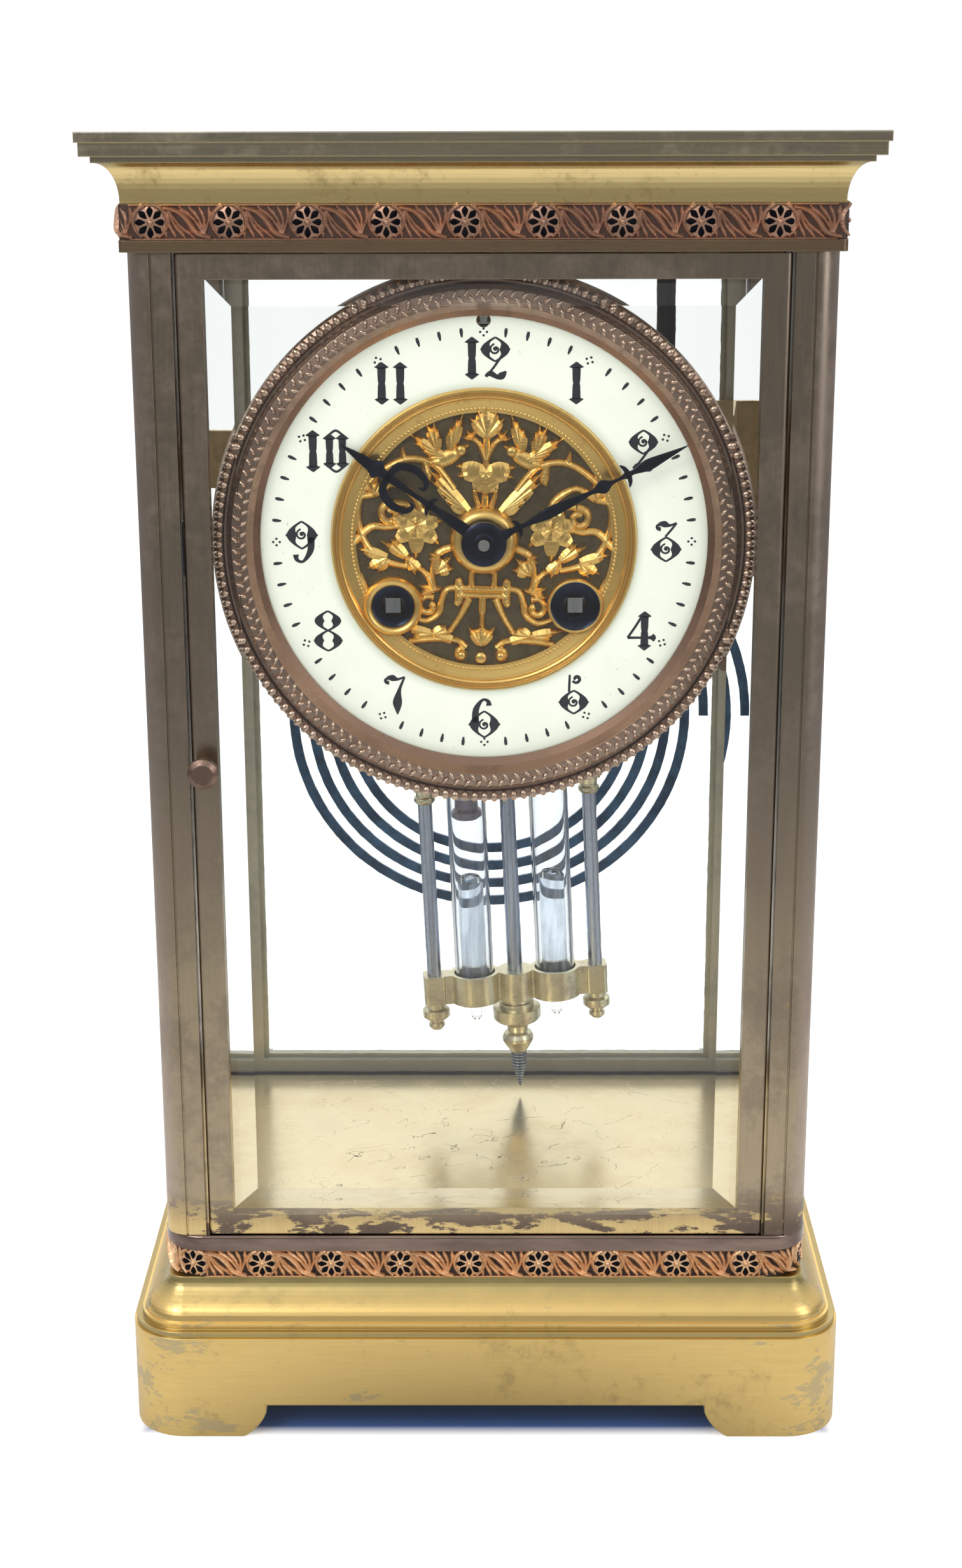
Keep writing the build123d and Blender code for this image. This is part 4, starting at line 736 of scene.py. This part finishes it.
def spear(bm, u, low, high, width):
    """An upright with a spearhead at each end and a notch in the middle."""
    notch = (low + high) / 2
    ink(bm, (u, low + 0.8, width), (u, notch - 0.5, width * 0.9), (u, notch, width * 0.72),
        (u, notch + 0.5, width * 0.9), (u, high - 0.8, width), steps=2)
    for end, way in ((low, -1), (high, 1)):
        ink(bm, (u, end - way * 1.15, width * 1.15), (u, end - way * 0.95, width * 1.8),
            (u, end, 0.1), steps=1)


def bowl(bm, v, width, height):
    """A round form swelling to a point at each side."""
    for way in (-1, 1):
        ink(bm, (0.0, v + height, 0.22), (way * width * 0.66, v + height * 0.6, 0.4),
            (way * width * 0.9, v, 1.4), (way * width * 0.66, v - height * 0.6, 0.4),
            (0.0, v - height, 0.22), steps=5)
        ink(bm, (way * width * 0.8, v, 2.0), (way * width * 1.46, v, 0.06), steps=1)


def snail(bm, v, radius):
    """The curl inside a bowl, round a dot."""
    ink(bm, *curl((0.0, v), radius, 100, 1.25, 0.2, 0.3), steps=2)
    ball(bm, (0.0, v, INK / 2), 0.34, INK / 0.68, 1)


def zero(bm):
    for way in (-1, 1):
        spear(bm, way * 1.2, -3.3, 3.3, 1.05)
        ink(bm, (-1.3, way * 3.0, 0.25), (0.0, way * 3.85, 0.3), (1.3, way * 3.0, 0.25))


def one(bm):
    spear(bm, 0.0, -3.9, 3.9, 1.15)


def two(bm):
    bowl(bm, 1.6, 1.9, 2.2)
    snail(bm, 1.6, 1.05)
    ink(bm, (1.3, 0.6, 0.3), (-0.3, -1.7, 0.28), (-1.7, -3.4, 0.3))
    ink(bm, (-1.9, -3.3, 0.2), (-0.9, -2.8, 0.75), (0.3, -3.4, 0.6), (1.2, -3.2, 1.0), (2.0, -2.4, 0.2))


def head(bm):
    """The flourish over a three or a seven."""
    ink(bm, *curl((-1.35, 2.9), 0.6, -60, -0.8, 0.55, 0.2), steps=2)
    ink(bm, (-1.5, 3.4, 0.25), (-0.4, 3.3, 0.9), (0.6, 3.05, 0.35), (1.9, 3.5, 0.25))


def three(bm):
    head(bm)
    ink(bm, (1.9, 3.5, 0.25), (0.9, 2.2, 0.28), (-0.2, 0.9, 0.25))
    bowl(bm, -1.5, 2.0, 2.3)
    snail(bm, -1.5, 1.1)


def four(bm):
    spear(bm, 0.8, -3.9, 3.7, 1.1)
    ink(bm, (0.6, 3.4, 0.3), (-0.8, 1.0, 0.3), (-2.4, -1.4, 0.3))
    ink(bm, (-2.4, -1.4, 0.35), (1.6, -1.4, 0.35), (2.5, -1.4, 1.1), (3.0, -1.4, 0.1))


def five(bm):
    ink(bm, (-0.8, 3.9, 0.25), (-0.85, 2.2, 0.3), (-0.9, 0.5, 0.3))
    ink(bm, *curl((0.5, 3.1), 0.9, -150, 1.0, 0.3, 0.6), steps=2)
    bowl(bm, -1.5, 2.0, 2.3)
    snail(bm, -1.5, 1.1)


def six(bm):
    bowl(bm, -1.3, 2.1, 2.6)
    snail(bm, -1.4, 1.1)
    ink(bm, (-1.7, -0.9, 1.0), (-1.6, 1.6, 0.85), (-0.4, 3.5, 0.35), (0.7, 3.3, 0.5), (0.9, 2.4, 0.8))


def seven(bm):
    head(bm)
    ink(bm, (1.9, 3.5, 0.25), (0.9, 1.0, 0.45), (0.5, -1.3, 1.3), (0.5, -2.6, 0.9), (0.5, -3.9, 0.08))


def eight(bm):
    bowl(bm, 1.95, 1.75, 1.9)
    bowl(bm, -1.9, 1.9, 2.0)


def nine(bm):
    bowl(bm, 1.3, 2.1, 2.6)
    snail(bm, 1.4, 1.1)
    ink(bm, (1.7, 0.9, 1.0), (1.6, -1.6, 0.85), (0.2, -3.7, 0.35), (-1.0, -3.4, 0.5), (-1.2, -2.4, 0.8))


DIGITS = [zero, one, two, three, four, five, six, seven, eight, nine]
DIGIT_STEP = 4.3
CLOSER = 0.8
DOTS_RADIUS = 44.1
DOT_SPREAD = 0.7
numerals = bmesh.new()
for hour in range(1, 13):
    digits = [int(figure) for figure in str(hour)]
    clockwise = math.radians(hour * 30)
    step = DIGIT_STEP * (CLOSER if hour == 11 else 1.0)
    for place, digit in enumerate(digits):
        numeral = bmesh.new()
        DIGITS[digit](numeral)
        aside = (place - (len(digits) - 1) / 2) * step
        put = moved_by(NUMERAL_RADIUS * math.sin(clockwise) + aside * NUMERAL_SCALE,
                       NUMERAL_RADIUS * math.cos(clockwise))
        repeat(numerals, numeral, put @ Matrix.Diagonal((NUMERAL_SCALE, NUMERAL_SCALE, 1.0, 1.0)))
tick = bmesh.new()
ink(tick, (0.0, 43.2, 0.18), (0.0, 44.3, 0.5), (0.0, 45.1, 0.3), steps=2)
repeat(numerals, tick, *[turned_by(-6 * minute) for minute in range(60) if minute % 5])
dots = bmesh.new()
for u, v in ((-1, 0), (1, 0), (0, -1), (0, 1)):
    ball(dots, (u * DOT_SPREAD, DOTS_RADIUS + v * DOT_SPREAD, INK / 2), DOT, INK / DOT, 1)
repeat(numerals, dots, *[turned_by(-30 * hour) for hour in range(12)])
on_dial(numerals, -0.005)

black = start("dial_black")
body = black.colour(black.noise(1.2), (0.008, 0.009, 0.016), (0.02, 0.022, 0.03))
black.finish(black.surface(Base_Color=body, Roughness=0.3, Coat_Weight=0.4))
make("dial_numerals", numerals, "dial_black", "case")

# %% [markdown]
# ## The pierced centre
# The middle of the dial is a gilt brass casting, pierced through to a dark pan: vines that grow
# from the hub, five-pointed leaves, a pair of small birds, and a stand with a tulip below. It is
# the same on both sides, so only the left half is drawn and the rest is its mirror image. Leaves
# and feathers are fans of tapered bars, so their ridges and valleys are real. The casting is dished
# a little behind the enamel, leans a degree or two, and has a dark well round each winding arbor.

# %% Pierced centre
BACK = -0.7
DISH = 1.1
VINE = 0.85
STOUT = 0.65
TILT = 1.6
GRAINS = 200
GRAIN_RADIUS = 28.1
WINDING = (middle("going_arbor").x - DIAL.x) / MM
WINDING_DROP = (middle("going_arbor").z - DIAL.z) / MM


def vine(bm, *points, height=VINE):
    """A stem, given a little extra width because it is cast, not drawn."""
    bar(bm, [(u, v, width + STOUT) for u, v, width in points], height, BACK, steps=4)


def leaf(bm, centre, degrees, size, lobes=5, spread=250.0):
    """A pointed leaf: lobes fanned round the end of its stalk, longest in the middle."""
    for lobe in range(lobes):
        away = lobe - (lobes - 1) / 2
        angle = math.radians(degrees + away * spread / (lobes - 1))
        reach = size * (1.15 - 0.14 * abs(away))
        side, up = math.cos(angle) * reach, math.sin(angle) * reach
        bar(bm, [(*centre, size * 0.2), (centre[0] + side * 0.5, centre[1] + up * 0.5, size * 0.52),
                 (centre[0] + side, centre[1] + up, 0.1)], VINE + 0.25, BACK, ROOF, 4)


def feathers(bm, root, tips, width):
    """A fan of feathers, or of leaf blades, from one root."""
    for tip in tips:
        half = ((root[0] + tip[0]) / 2, (root[1] + tip[1]) / 2)
        bar(bm, [(*root, width * 1.1), (*half, width * 1.65), (*tip, 0.2)], VINE + 0.2, BACK, ROOF, 4)


def bird(bm):
    """A small bird flying in from the left, its head towards the middle."""
    vine(bm, (-11.6, 16.4, 0.9), (-9.2, 17.0, 2.9), (-7.2, 18.0, 2.6), (-5.6, 19.0, 1.6), height=1.2)
    ball(bm, (-5.3, 19.2, 0.15), 1.15, 0.7)
    vine(bm, (-4.9, 19.6, 0.7), (-3.7, 20.2, 0.12))
    feathers(bm, (-8.6, 17.6), [(-16.8, 22.6), (-15.2, 20.4), (-13.6, 18.8), (-12.4, 17.2)], 1.25)
    feathers(bm, (-7.4, 19.0), [(-5.0, 27.2), (-6.4, 25.6), (-7.8, 24.0)], 1.3)
    feathers(bm, (-10.4, 18.4), [(-13.0, 25.4), (-11.2, 25.2), (-10.2, 23.4)], 1.1)


def upper_vines(bm):
    feathers(bm, (-3.4, 6.0), [(-11.8, 14.8), (-11.6, 12.6), (-9.4, 10.0), (-8.0, 8.2)], 1.7)
    vine(bm, (-6.6, 10.8, 0.9), (-10.8, 15.8, 0.9), (-16.2, 17.0, 1.0), (-21.2, 14.8, 0.9),
         (-25.6, 10.4, 1.0), (-27.0, 5.0, 0.9), (-25.4, -1.0, 1.0), (-21.6, -4.8, 1.1), (-16.4, -6.2, 0.8))
    vine(bm, (-17.4, 16.6, 1.3), (-17.7, 19.4, 0.1))
    vine(bm, (-13.0, 16.4, 0.8), (-12.4, 13.4, 1.5), (-12.9, 12.0, 0.15))
    vine(bm, (-27.4, 8.6, 0.8), (-23.2, 9.4, 1.0), (-19.4, 11.6, 0.8), (-14.9, 9.0, 1.0), (-13.6, 6.0, 0.8))
    feathers(bm, (-23.6, 9.2), [(-25.4, 13.0), (-22.8, 12.6), (-21.4, 11.6)], 1.1)
    vine(bm, *curl((-20.0, 5.2), 2.4, 80, 1.15, 1.1, 0.9, 0.3))
    vine(bm, (-19.4, 7.6, 0.9), (-16.4, 7.2, 0.8), (-14.6, 5.2, 0.7))
    leaf(bm, (-14.4, 3.0), -90, 6.6, 7, 300)
    vine(bm, (-28.0, -1.6, 0.9), (-24.2, 2.2, 1.2), (-21.0, 2.2, 0.9), (-18.0, 2.6, 0.7))


def side_vines(bm):
    vine(bm, (-6.6, -1.6, 1.1), (-9.6, -3.0, 1.2), (-10.8, -6.2, 0.7), (-10.6, -10.6, 0.8))
    leaf(bm, (-10.2, -7.4), 48, 4.4, 3, 60)
    leaf(bm, (-9.6, -3.4), -150, 2.2, 3, 70)
    feathers(bm, (-20.6, -4.2), [(-26.8, -2.4), (-25.0, -6.8), (-22.6, -7.6)], 1.5)
    feathers(bm, (-16.2, -4.2), [(-22.0, -0.6), (-19.8, -0.2), (-12.6, -7.6), (-14.4, -8.0)], 1.3)
    vine(bm, (-13.4, -6.6, 0.8), (-11.4, -8.8, 0.9), (-10.6, -11.6, 0.7))
    feathers(bm, (-11.0, -11.2), [(-13.6, -10.0), (-13.8, -12.2), (-8.6, -10.4)], 0.9)
    vine(bm, (-5.4, -10.4, 0.8), (-7.8, -11.0, 0.9), (-8.8, -13.6, 0.9), (-9.4, -16.2, 0.9),
         (-12.0, -17.9, 0.8), (-15.0, -17.0, 0.5))
    vine(bm, *curl((-11.6, -14.6), 2.3, 60, 1.0, 0.8, 0.9, 0.3))


def stand_and_tulip(bm):
    vine(bm, (-2.5, -5.8, 0.75), (-2.4, -10.2, 0.75))
    vine(bm, (0.0, -10.6, 0.9), (-5.4, -10.6, 0.9))
    vine(bm, (0.0, -12.0, 0.9), (-5.4, -12.0, 0.9))
    vine(bm, (-5.5, -8.4, 0.7), (-5.1, -9.6, 1.3), (-5.1, -13.0, 1.3), (-5.6, -14.2, 0.7))
    vine(bm, (-2.8, -12.6, 1.1), (-4.6, -16.6, 0.8), (-6.9, -20.2, 0.7))
    vine(bm, (0.0, -12.4, 0.9), (0.0, -15.4, 1.1), (0.0, -16.6, 0.6), (0.0, -22.4, 0.7))
    feathers(bm, (0.0, -23.0), [(-2.9, -18.8), (-1.4, -19.2)], 1.2)
    feathers(bm, (-10.4, -20.6), [(-17.6, -19.2), (-15.0, -21.2), (-4.0, -22.6), (-6.0, -20.0),
                                 (-7.6, -18.9)], 1.3)
    vine(bm, (-15.6, -22.4, 0.7), (-10.0, -21.8, 0.9), (-5.4, -22.0, 0.8), (-3.2, -23.4, 0.8))
    vine(bm, *curl((-4.2, -25.0), 1.3, 60, 1.0, 0.8, 0.8, 0.3))
    ball(bm, (-4.2, -25.2, -0.1), 0.95, 0.7)
    vine(bm, (-26.8, -8.0, 1.3), (-24.6, -12.4, 1.0), (-23.4, -16.2, 0.9))


def top_flower(bm):
    feathers(bm, (0.0, 22.2), [(-3.7, 26.2), (-2.2, 28.2)], 1.5)
    vine(bm, (-0.2, 17.2, 0.6), (-1.8, 20.8, 0.7), (-3.6, 21.8, 0.8))
    leaf(bm, (-3.0, 21.4), 120, 2.3, 3, 90)
    feathers(bm, (0.0, 14.6), [(-6.4, 15.9), (-6.0, 13.6), (-2.4, 9.6)], 2.1)
    vine(bm, (-1.2, 6.8, 0.7), (-2.2, 10.4, 0.6), (-0.6, 13.6, 0.6))


half = bmesh.new()
for draw in (bird, upper_vines, side_vines, stand_and_tulip, top_flower):
    draw(half)
middle_line = bmesh.new()
vine(middle_line, (0.0, 6.4, 0.9), (0.0, 14.0, 0.8), (0.0, 22.0, 0.9), (0.0, 29.0, 0.7))
feathers(middle_line, (0.0, 22.2), [(0.0, 29.2)], 1.9)
feathers(middle_line, (0.0, 14.6), [(0.0, 9.0)], 2.0)
feathers(middle_line, (0.0, -23.0), [(0.0, -18.0)], 1.5)
ball(middle_line, (0.0, -25.6, -0.1), 1.35, 0.6)
centre = bmesh.new()
repeat(centre, half, turned_by(-TILT), turned_by(-TILT) @ MIRROR)
repeat(centre, middle_line, turned_by(-TILT))

lathe(centre, [(27.2, BACK), (27.3, 0.0), (27.9, 0.1), (29.4, 0.65), (30.2, 0.85), (30.4, 1.45),
               (30.8, 1.65), (31.1, 1.2), (31.5, 1.2), (31.8, 1.9), (32.2, 1.95), (32.6, 1.2),
               (32.6, 0.4), (31.0, BACK)])
grain = bmesh.new()
ball(grain, (GRAIN_RADIUS, 0.0, 0.15), 0.34, 0.7, 1)
repeat(centre, grain, *[turned_by(360 * step / GRAINS) for step in range(GRAINS)])
lathe(centre, [(3.9, BACK), (3.9, 1.6), (4.6, 1.9), (5.6, 1.9), (6.3, 1.5), (6.9, 0.7), (7.3, 0.1),
               (7.5, BACK)], 64)
lathe(centre, [(4.5, BACK), (4.5, 1.5), (5.0, 2.3), (5.6, 2.4), (6.1, 1.9), (6.4, 1.1), (6.4, BACK)],
      48, (-WINDING, WINDING_DROP))
lathe(centre, [(5.3, BACK), (5.3, 1.5), (5.7, 1.6), (5.9, 1.3), (5.9, BACK)], 48,
      (WINDING, WINDING_DROP))
on_dial(centre, -DISH)
make("pierced_centre", centre, "gilt", "case", stands_for=["dial_centre"], smooth=50.0)

WELL_HOLE = 2.6
WELL_FLOOR = -0.6
WELL_BACK = -0.75
wells = bmesh.new()
for side, radius in ((-1, 4.5), (1, 5.35)):
    lathe(wells, [(WELL_HOLE, WELL_BACK), (WELL_HOLE, WELL_FLOOR), (radius - 0.6, WELL_FLOOR),
                  (radius, -0.2), (radius, WELL_BACK)], 48, (side * WINDING, WINDING_DROP))
on_dial(wells)
make("winding_wells", wells, "blued_steel", "case")

# %% [markdown]
# ## The hands
# They were sawn from thin steel and blued. The hour hand has a knuckle, a crescent of two horns and
# a spearhead; the minute hand has the same knuckle, then a long leaf, a diamond, a pair of lobes and
# a blade. Each is drawn pointing to twelve as a few flat bars, then turned to the time that it shows.

# %% Hands
THICK = 0.6
HOUR_TIME = 304.9
MINUTE_TIME = 63.9


def cut(bm, *points):
    """A stretch of sawn steel."""
    bar(bm, points, THICK, section=FLAT)


def knuckle(bm, v, reach):
    for way in (-1, 1):
        cut(bm, (way * 0.2, v + 0.2, 1.1), (way * reach * 0.6, v - 0.1, 0.9), (way * reach, v - 0.7, 0.3))


hour = bmesh.new()
lathe(hour, [(2.9, 0.0), (2.9, THICK), (4.0, THICK), (4.0, 0.0)], 48)
cut(hour, (0.0, 3.4, 2.8), (0.0, 9.0, 2.2), (0.0, 12.8, 1.3), (0.0, 14.0, 2.2), (0.0, 15.4, 1.1),
    (0.0, 20.0, 1.3), (0.0, 24.0, 1.9), (0.0, 26.0, 2.0), (0.0, 27.4, 4.2), (0.0, 29.0, 2.6),
    (0.0, 31.4, 2.0), (0.0, 36.5, 0.2))
knuckle(hour, 14.0, 2.2)
for way in (-1, 1):
    cut(hour, (0.0, 24.6, 1.4), (way * 3.0, 24.0, 1.7), (way * 4.5, 20.8, 1.7), (way * 3.9, 17.6, 1.3),
        (way * 2.3, 16.8, 0.9), (way * 1.7, 18.0, 0.3))
bmesh.ops.transform(hour, matrix=turned_by(-HOUR_TIME), verts=hour.verts)
on_dial(hour, (DIAL_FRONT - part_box("hour_hand")[1].y) / MM)
make("hour_hand_blued", hour, "blued_steel", "hour", stands_for=["hour_hand"])

minute = bmesh.new()
lathe(minute, [(1.2, -0.6), (1.2, 1.1), (2.0, 1.1), (2.4, 0.75), (3.9, 0.75), (4.75, 0.3), (4.75, -0.6)], 48)
cut(minute, (0.0, 3.6, 3.2), (0.0, 6.8, 1.3), (0.0, 8.2, 2.0), (0.0, 9.6, 1.0), (0.0, 15.0, 2.4),
    (0.0, 21.0, 1.8), (0.0, 25.4, 0.9), (0.0, 27.9, 3.0), (0.0, 30.0, 0.9), (0.0, 32.4, 0.9),
    (0.0, 33.6, 1.8), (0.0, 34.8, 1.0), (0.0, 38.2, 2.4), (0.0, 42.0, 1.6), (0.0, 47.5, 0.15))
knuckle(minute, 8.2, 2.0)
knuckle(minute, 33.6, 2.5)
bmesh.ops.transform(minute, matrix=turned_by(-MINUTE_TIME), verts=minute.verts)
on_dial(minute, (DIAL_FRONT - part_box("minute_hand")[1].y) / MM + THICK)
make("minute_hand_blued", minute, "blued_steel", "minute", stands_for=["minute_hand"])

# %% [markdown]
# ## The bezel's beads and braid
# The brass ring that holds the dial was rolled in a die: outside, a row of raised beads, then a
# plain ridge, then a narrow braid, and a smooth hollow down to the enamel. The turned ring
# itself is there already, so only the beads and the braid are added, each from one small shape
# repeated round the circle.

# %% Beads and braid
BEAD_RADIUS = 55.7
BEADS = 164
BRAID_RADIUS = 51.6
LINKS = 136
BEZEL_FRONT = (DIAL_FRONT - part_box("bezel")[0].y) / MM

rim = bmesh.new()
bead = bmesh.new()
bmesh.ops.create_icosphere(bead, subdivisions=2, radius=1.0, matrix=Matrix.Translation(
    (BEAD_RADIUS, 0.0, BEZEL_FRONT - 1.75)) @ Matrix.Diagonal((1.2, 0.86, 1.0, 1.0)))
repeat(rim, bead, *[turned_by(360 * step / BEADS) for step in range(BEADS)])
for row, slant in ((-0.62, 38), (0.62, -38)):
    link = bmesh.new()
    bmesh.ops.create_icosphere(link, subdivisions=1, radius=1.0, matrix=Matrix.Translation(
        (BRAID_RADIUS + row, 0.0, BEZEL_FRONT + 0.05)) @ turned_by(slant)
        @ Matrix.Diagonal((1.05, 0.46, 0.6, 1.0)))
    offset = 0.5 * (row > 0)
    repeat(rim, link, *[turned_by(360 * (step + offset) / LINKS) for step in range(LINKS)])
on_dial(rim)
# The beads and braid take the lighter brass of the painted highlight.
make("bezel_beading", rim, "bead_brass_highlit", "case", smooth=60.0)

# %% [markdown]
# ## The friezes
# A band of copper foliage runs round the case above the posts and below them. It was cast in
# strips of one repeated pattern: a flower pierced by eight openings inside a scroll, then a
# stem that sweeps down to the next between two fans of blades. One length of pattern is drawn
# flat, repeated, and then bent round the case, corners and all, by moving its points. The openings
# are not cut: they are flat black strips laid on the flower, painted shade for the holes. The copper
# and the openings are two pieces, because they differ in finish.

# %% Friezes
FRIEZE_PITCH = 15.7
BLADES = 4
PETALS = 8
SUNK = 0.15
BASE_CORNER = 9.0
TOP_CORNER = 2.0


def around(distance, half_w, half_d, corner):
    """The place and the outward way at a distance round a rounded rectangle, from mid-front."""
    place = Vector((0.0, -half_d, 0.0))
    along = Vector((1.0, 0.0, 0.0))
    front, side = half_w - corner, 2 * (half_d - corner)
    legs = [front, side, 2 * front, side, front]
    for number, length in enumerate(legs):
        step = min(distance, length)
        place += along * step
        distance -= step
        inward = Vector((-along.y, along.x, 0.0))
        if distance <= 0 or number == len(legs) - 1:
            return place, -inward
        bend = min(distance / corner, math.pi / 2)
        pivot = place + inward * corner
        spin = Matrix.Rotation(bend, 3, "Z")
        place = pivot + spin @ (place - pivot)
        along = spin @ along
        distance -= bend * corner
        if bend < math.pi / 2:
            return place, Vector((along.y, -along.x, 0.0))
    return place, -inward


def flower(ground, dark, centre, tall):
    """A round boss with eight black strips between its petals, painted shade for its openings."""
    lathe(ground, [(0.2, 0.0), (0.2, 0.42), (tall * 0.4, 0.42), (tall * 0.45, 0.2), (tall * 0.45, 0.0)],
          24, centre)
    ball(ground, (*centre, 0.4), tall * 0.09)
    for petal in range(PETALS):
        angle = math.tau * petal / PETALS
        side, up = math.cos(angle) * tall, math.sin(angle) * tall
        bar(dark, [(centre[0] + side * out, centre[1] + up * out, width)
                   for out, width in ((0.12, 0.1), (0.31, 1.35), (0.43, 0.3))], 0.14, 0.33, FLAT, 3)


def frieze_motif(pitch, tall):
    """A flower in a scroll and a leafy stem; returns what is copper and the black strips of painted shade.
    """
    bm, dark = bmesh.new(), bmesh.new()
    centre = (pitch * 0.27, tall * 0.5)
    flower(bm, dark, centre, tall)
    for v in (tall * 0.03, tall * 0.97):
        bar(bm, [(u, v, tall * 0.06) for u in (0.0, pitch / 2, pitch)], 0.7, steps=1)
    for way in (-1, 1):
        bar(bm, curl(centre, tall * 0.5, 90 + way * 20, way * 0.36, 1.25, 0.7, 0.94), 0.95, steps=3)
    stem = [(0.44, 0.9, 0.7), (0.62, 0.8, 1.15), (0.76, 0.5, 1.25), (0.86, 0.2, 1.2), (1.04, 0.08, 0.8)]
    bar(bm, [(pitch * u, tall * v, width) for u, v, width in stem], 1.35, steps=3)
    for blade in range(BLADES):
        done = blade / (BLADES - 1)
        for root, tip, sway in (((0.95, 0.12), (0.64 + 0.38 * done, 0.94), 0.035),
                                ((0.5, 0.88), (0.47 + 0.37 * done, 0.06), -0.035)):
            half = ((root[0] + tip[0]) / 2 + sway, (root[1] + tip[1]) / 2 + sway)
            near = ((half[0] + tip[0] * 2) / 3, (half[1] + tip[1] * 2) / 3)
            bar(bm, [(pitch * u, tall * v, width) for (u, v), width in
                     ((root, 0.5), (half, 0.75), (near, 0.95), (tip, 0.3))], 0.6, section=ROOF, steps=2)
    return bm, dark


def frieze(name, corner, finish):
    """Repeats the motif round one strip of the case and bends it round the corners."""
    low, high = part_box(name)
    half_w, half_d = high.x / MM, high.y / MM
    length = 4 * (half_w + half_d) - (8 - math.tau) * corner
    count = round(length / FRIEZE_PITCH)
    step = length / count
    motif = frieze_motif(step, (high.z - low.z) / MM)
    # The openings piece is the flowers' painted shade, in black.
    for small, suffix, dressing in zip(motif, ("foliage", "openings"), (finish, "opening_black")):
        bm = bmesh.new()
        repeat(bm, small, *[moved_by((number + 0.5) * step, 0.0) for number in range(count)])
        for point in bm.verts:
            place, outward = around(point.co.x % length, half_w, half_d, corner)
            spot = (place + outward * (point.co.z - SUNK)) * MM
            point.co = (spot.x, spot.y, low.z + point.co.y * MM)
        make(f"{name}_{suffix}", bm, dressing, "case", smooth=50.0)


frieze("base_frieze", BASE_CORNER, "copper_frieze")
frieze("top_frieze", TOP_CORNER, "dark_copper")

# %% [markdown]
# ## Floor, sky and lamps
# The clock stands on a plain pale floor in a white room, with deep cool shade underneath it.
# Polished metal shows the room more than its own colour, so the room that the metal sees is graded:
# bright overhead and behind, dim at the sides, on a floor that fades away. The eye sees plain white.

# %% Floor and light
FOOTPRINT = (78.0, 55.0)
FLOOR_REACH = 12.0


def reflected(mix):
    """1 for what is seen in a polished surface, 0 for what is seen directly or lights the object."""
    return mix.node("LightPath", out="Is Glossy Ray") * mix.node("LightPath", out="Is Reflection Ray")


def pale_floor():
    """A plain white floor, in deep cool shade under the clock, which polished metal sees fade away."""
    mix = start("floor")
    soft = mix.noise(300.0, 2.0)
    open_floor = mix.outside(*FOOTPRINT, 4.0)
    white = mix.colour(soft, (0.9, 0.9, 0.91), (0.93, 0.93, 0.94))
    seen = mix.surface(Base_Color=mix.colour(open_floor, (0.07, 0.15, 0.45), white), Roughness=0.8,
                       Emission_Color=mix.colour(open_floor, (0.0, 0.0, 0.0), (1.0, 1.0, 1.0)),
                       Emission_Strength=0.42)
    away = mix.length(mix.place()) * 0.001
    fading = mix.steps(away, (0.06, 0.25), (0.11, 1.0), (0.26, 0.85), (0.5, 0.42), (0.8, 0.26))
    in_metal = mix.node("Emission", sockets={"Color": fading, "Strength": 0.9})
    mix.finish(mix.node("MixShader", sockets={0: reflected(mix), 1: seen, 2: in_metal}))


pale_floor()
floor_mesh = bpy.data.meshes.new("floor")
sheet = bmesh.new()
bmesh.ops.create_grid(sheet, x_segments=2, y_segments=2, size=FLOOR_REACH)
sheet.to_mesh(floor_mesh)
sheet.free()
floor = bpy.data.objects.new("floor", floor_mesh)
bpy.context.scene.collection.objects.link(floor)
floor_mesh.materials.append(FINISHES["floor"])

room = bpy.data.worlds.new("room")
bpy.context.scene.world = room
sky = Finish(room)
way_out = sky.node("TexCoord", out="Generated")
upward = sky.node("SeparateXYZ", sockets={0: way_out}, out="Z")
behind = sky.past(sky.node("SeparateXYZ", sockets={0: way_out}, out="Y"), 0.45, 0.6)
studio = sky.steps(upward * 0.5 + 0.5, (0.0, 0.3), (0.44, 0.16), (0.55, 0.3), (0.7, 0.9), (1.0, 1.1))
studio = studio * (1 - behind) + behind * 1.1
matt_light = sky.node("LightPath", out="Is Diffuse Ray")
white = sky.node("Background", sockets={"Color": (1.0, 1.0, 1.0, 1.0), "Strength": 1.0 - matt_light * 0.3})
graded = sky.node("Background", sockets={"Color": studio, "Strength": 0.85})
seen = sky.node("MixShader", sockets={0: reflected(sky), 1: white, 2: graded})
world_output = sky.tree.nodes.new("ShaderNodeOutputWorld")
sky.tree.links.new(seen.socket, world_output.inputs["Surface"])


def lamp(name, place, target, size, power):
    """A soft square lamp looking at a target."""
    data = bpy.data.lights.new(name, "AREA")
    data.shape = "RECTANGLE"
    data.size = size[0]
    data.size_y = size[1]
    data.energy = power
    holder = bpy.data.objects.new(name, data)
    bpy.context.scene.collection.objects.link(holder)
    look = Vector(target) - Vector(place)
    holder.matrix_world = Matrix.Translation(place) @ look.to_track_quat("-Z", "Y").to_matrix().to_4x4()


lamp("key_lamp", (-0.55, -0.75, 0.85), (0.0, 0.0, 0.15), (0.5, 0.5), 4.2)
lamp("fill_lamp", (0.75, -0.55, 0.5), (0.0, 0.0, 0.15), (0.35, 0.7), 1.6)
lamp("back_lamp", (0.1, 0.8, 0.9), (0.0, 0.0, 0.2), (0.8, 0.4), 3.2)
print("floor, sky and three lamps are set")
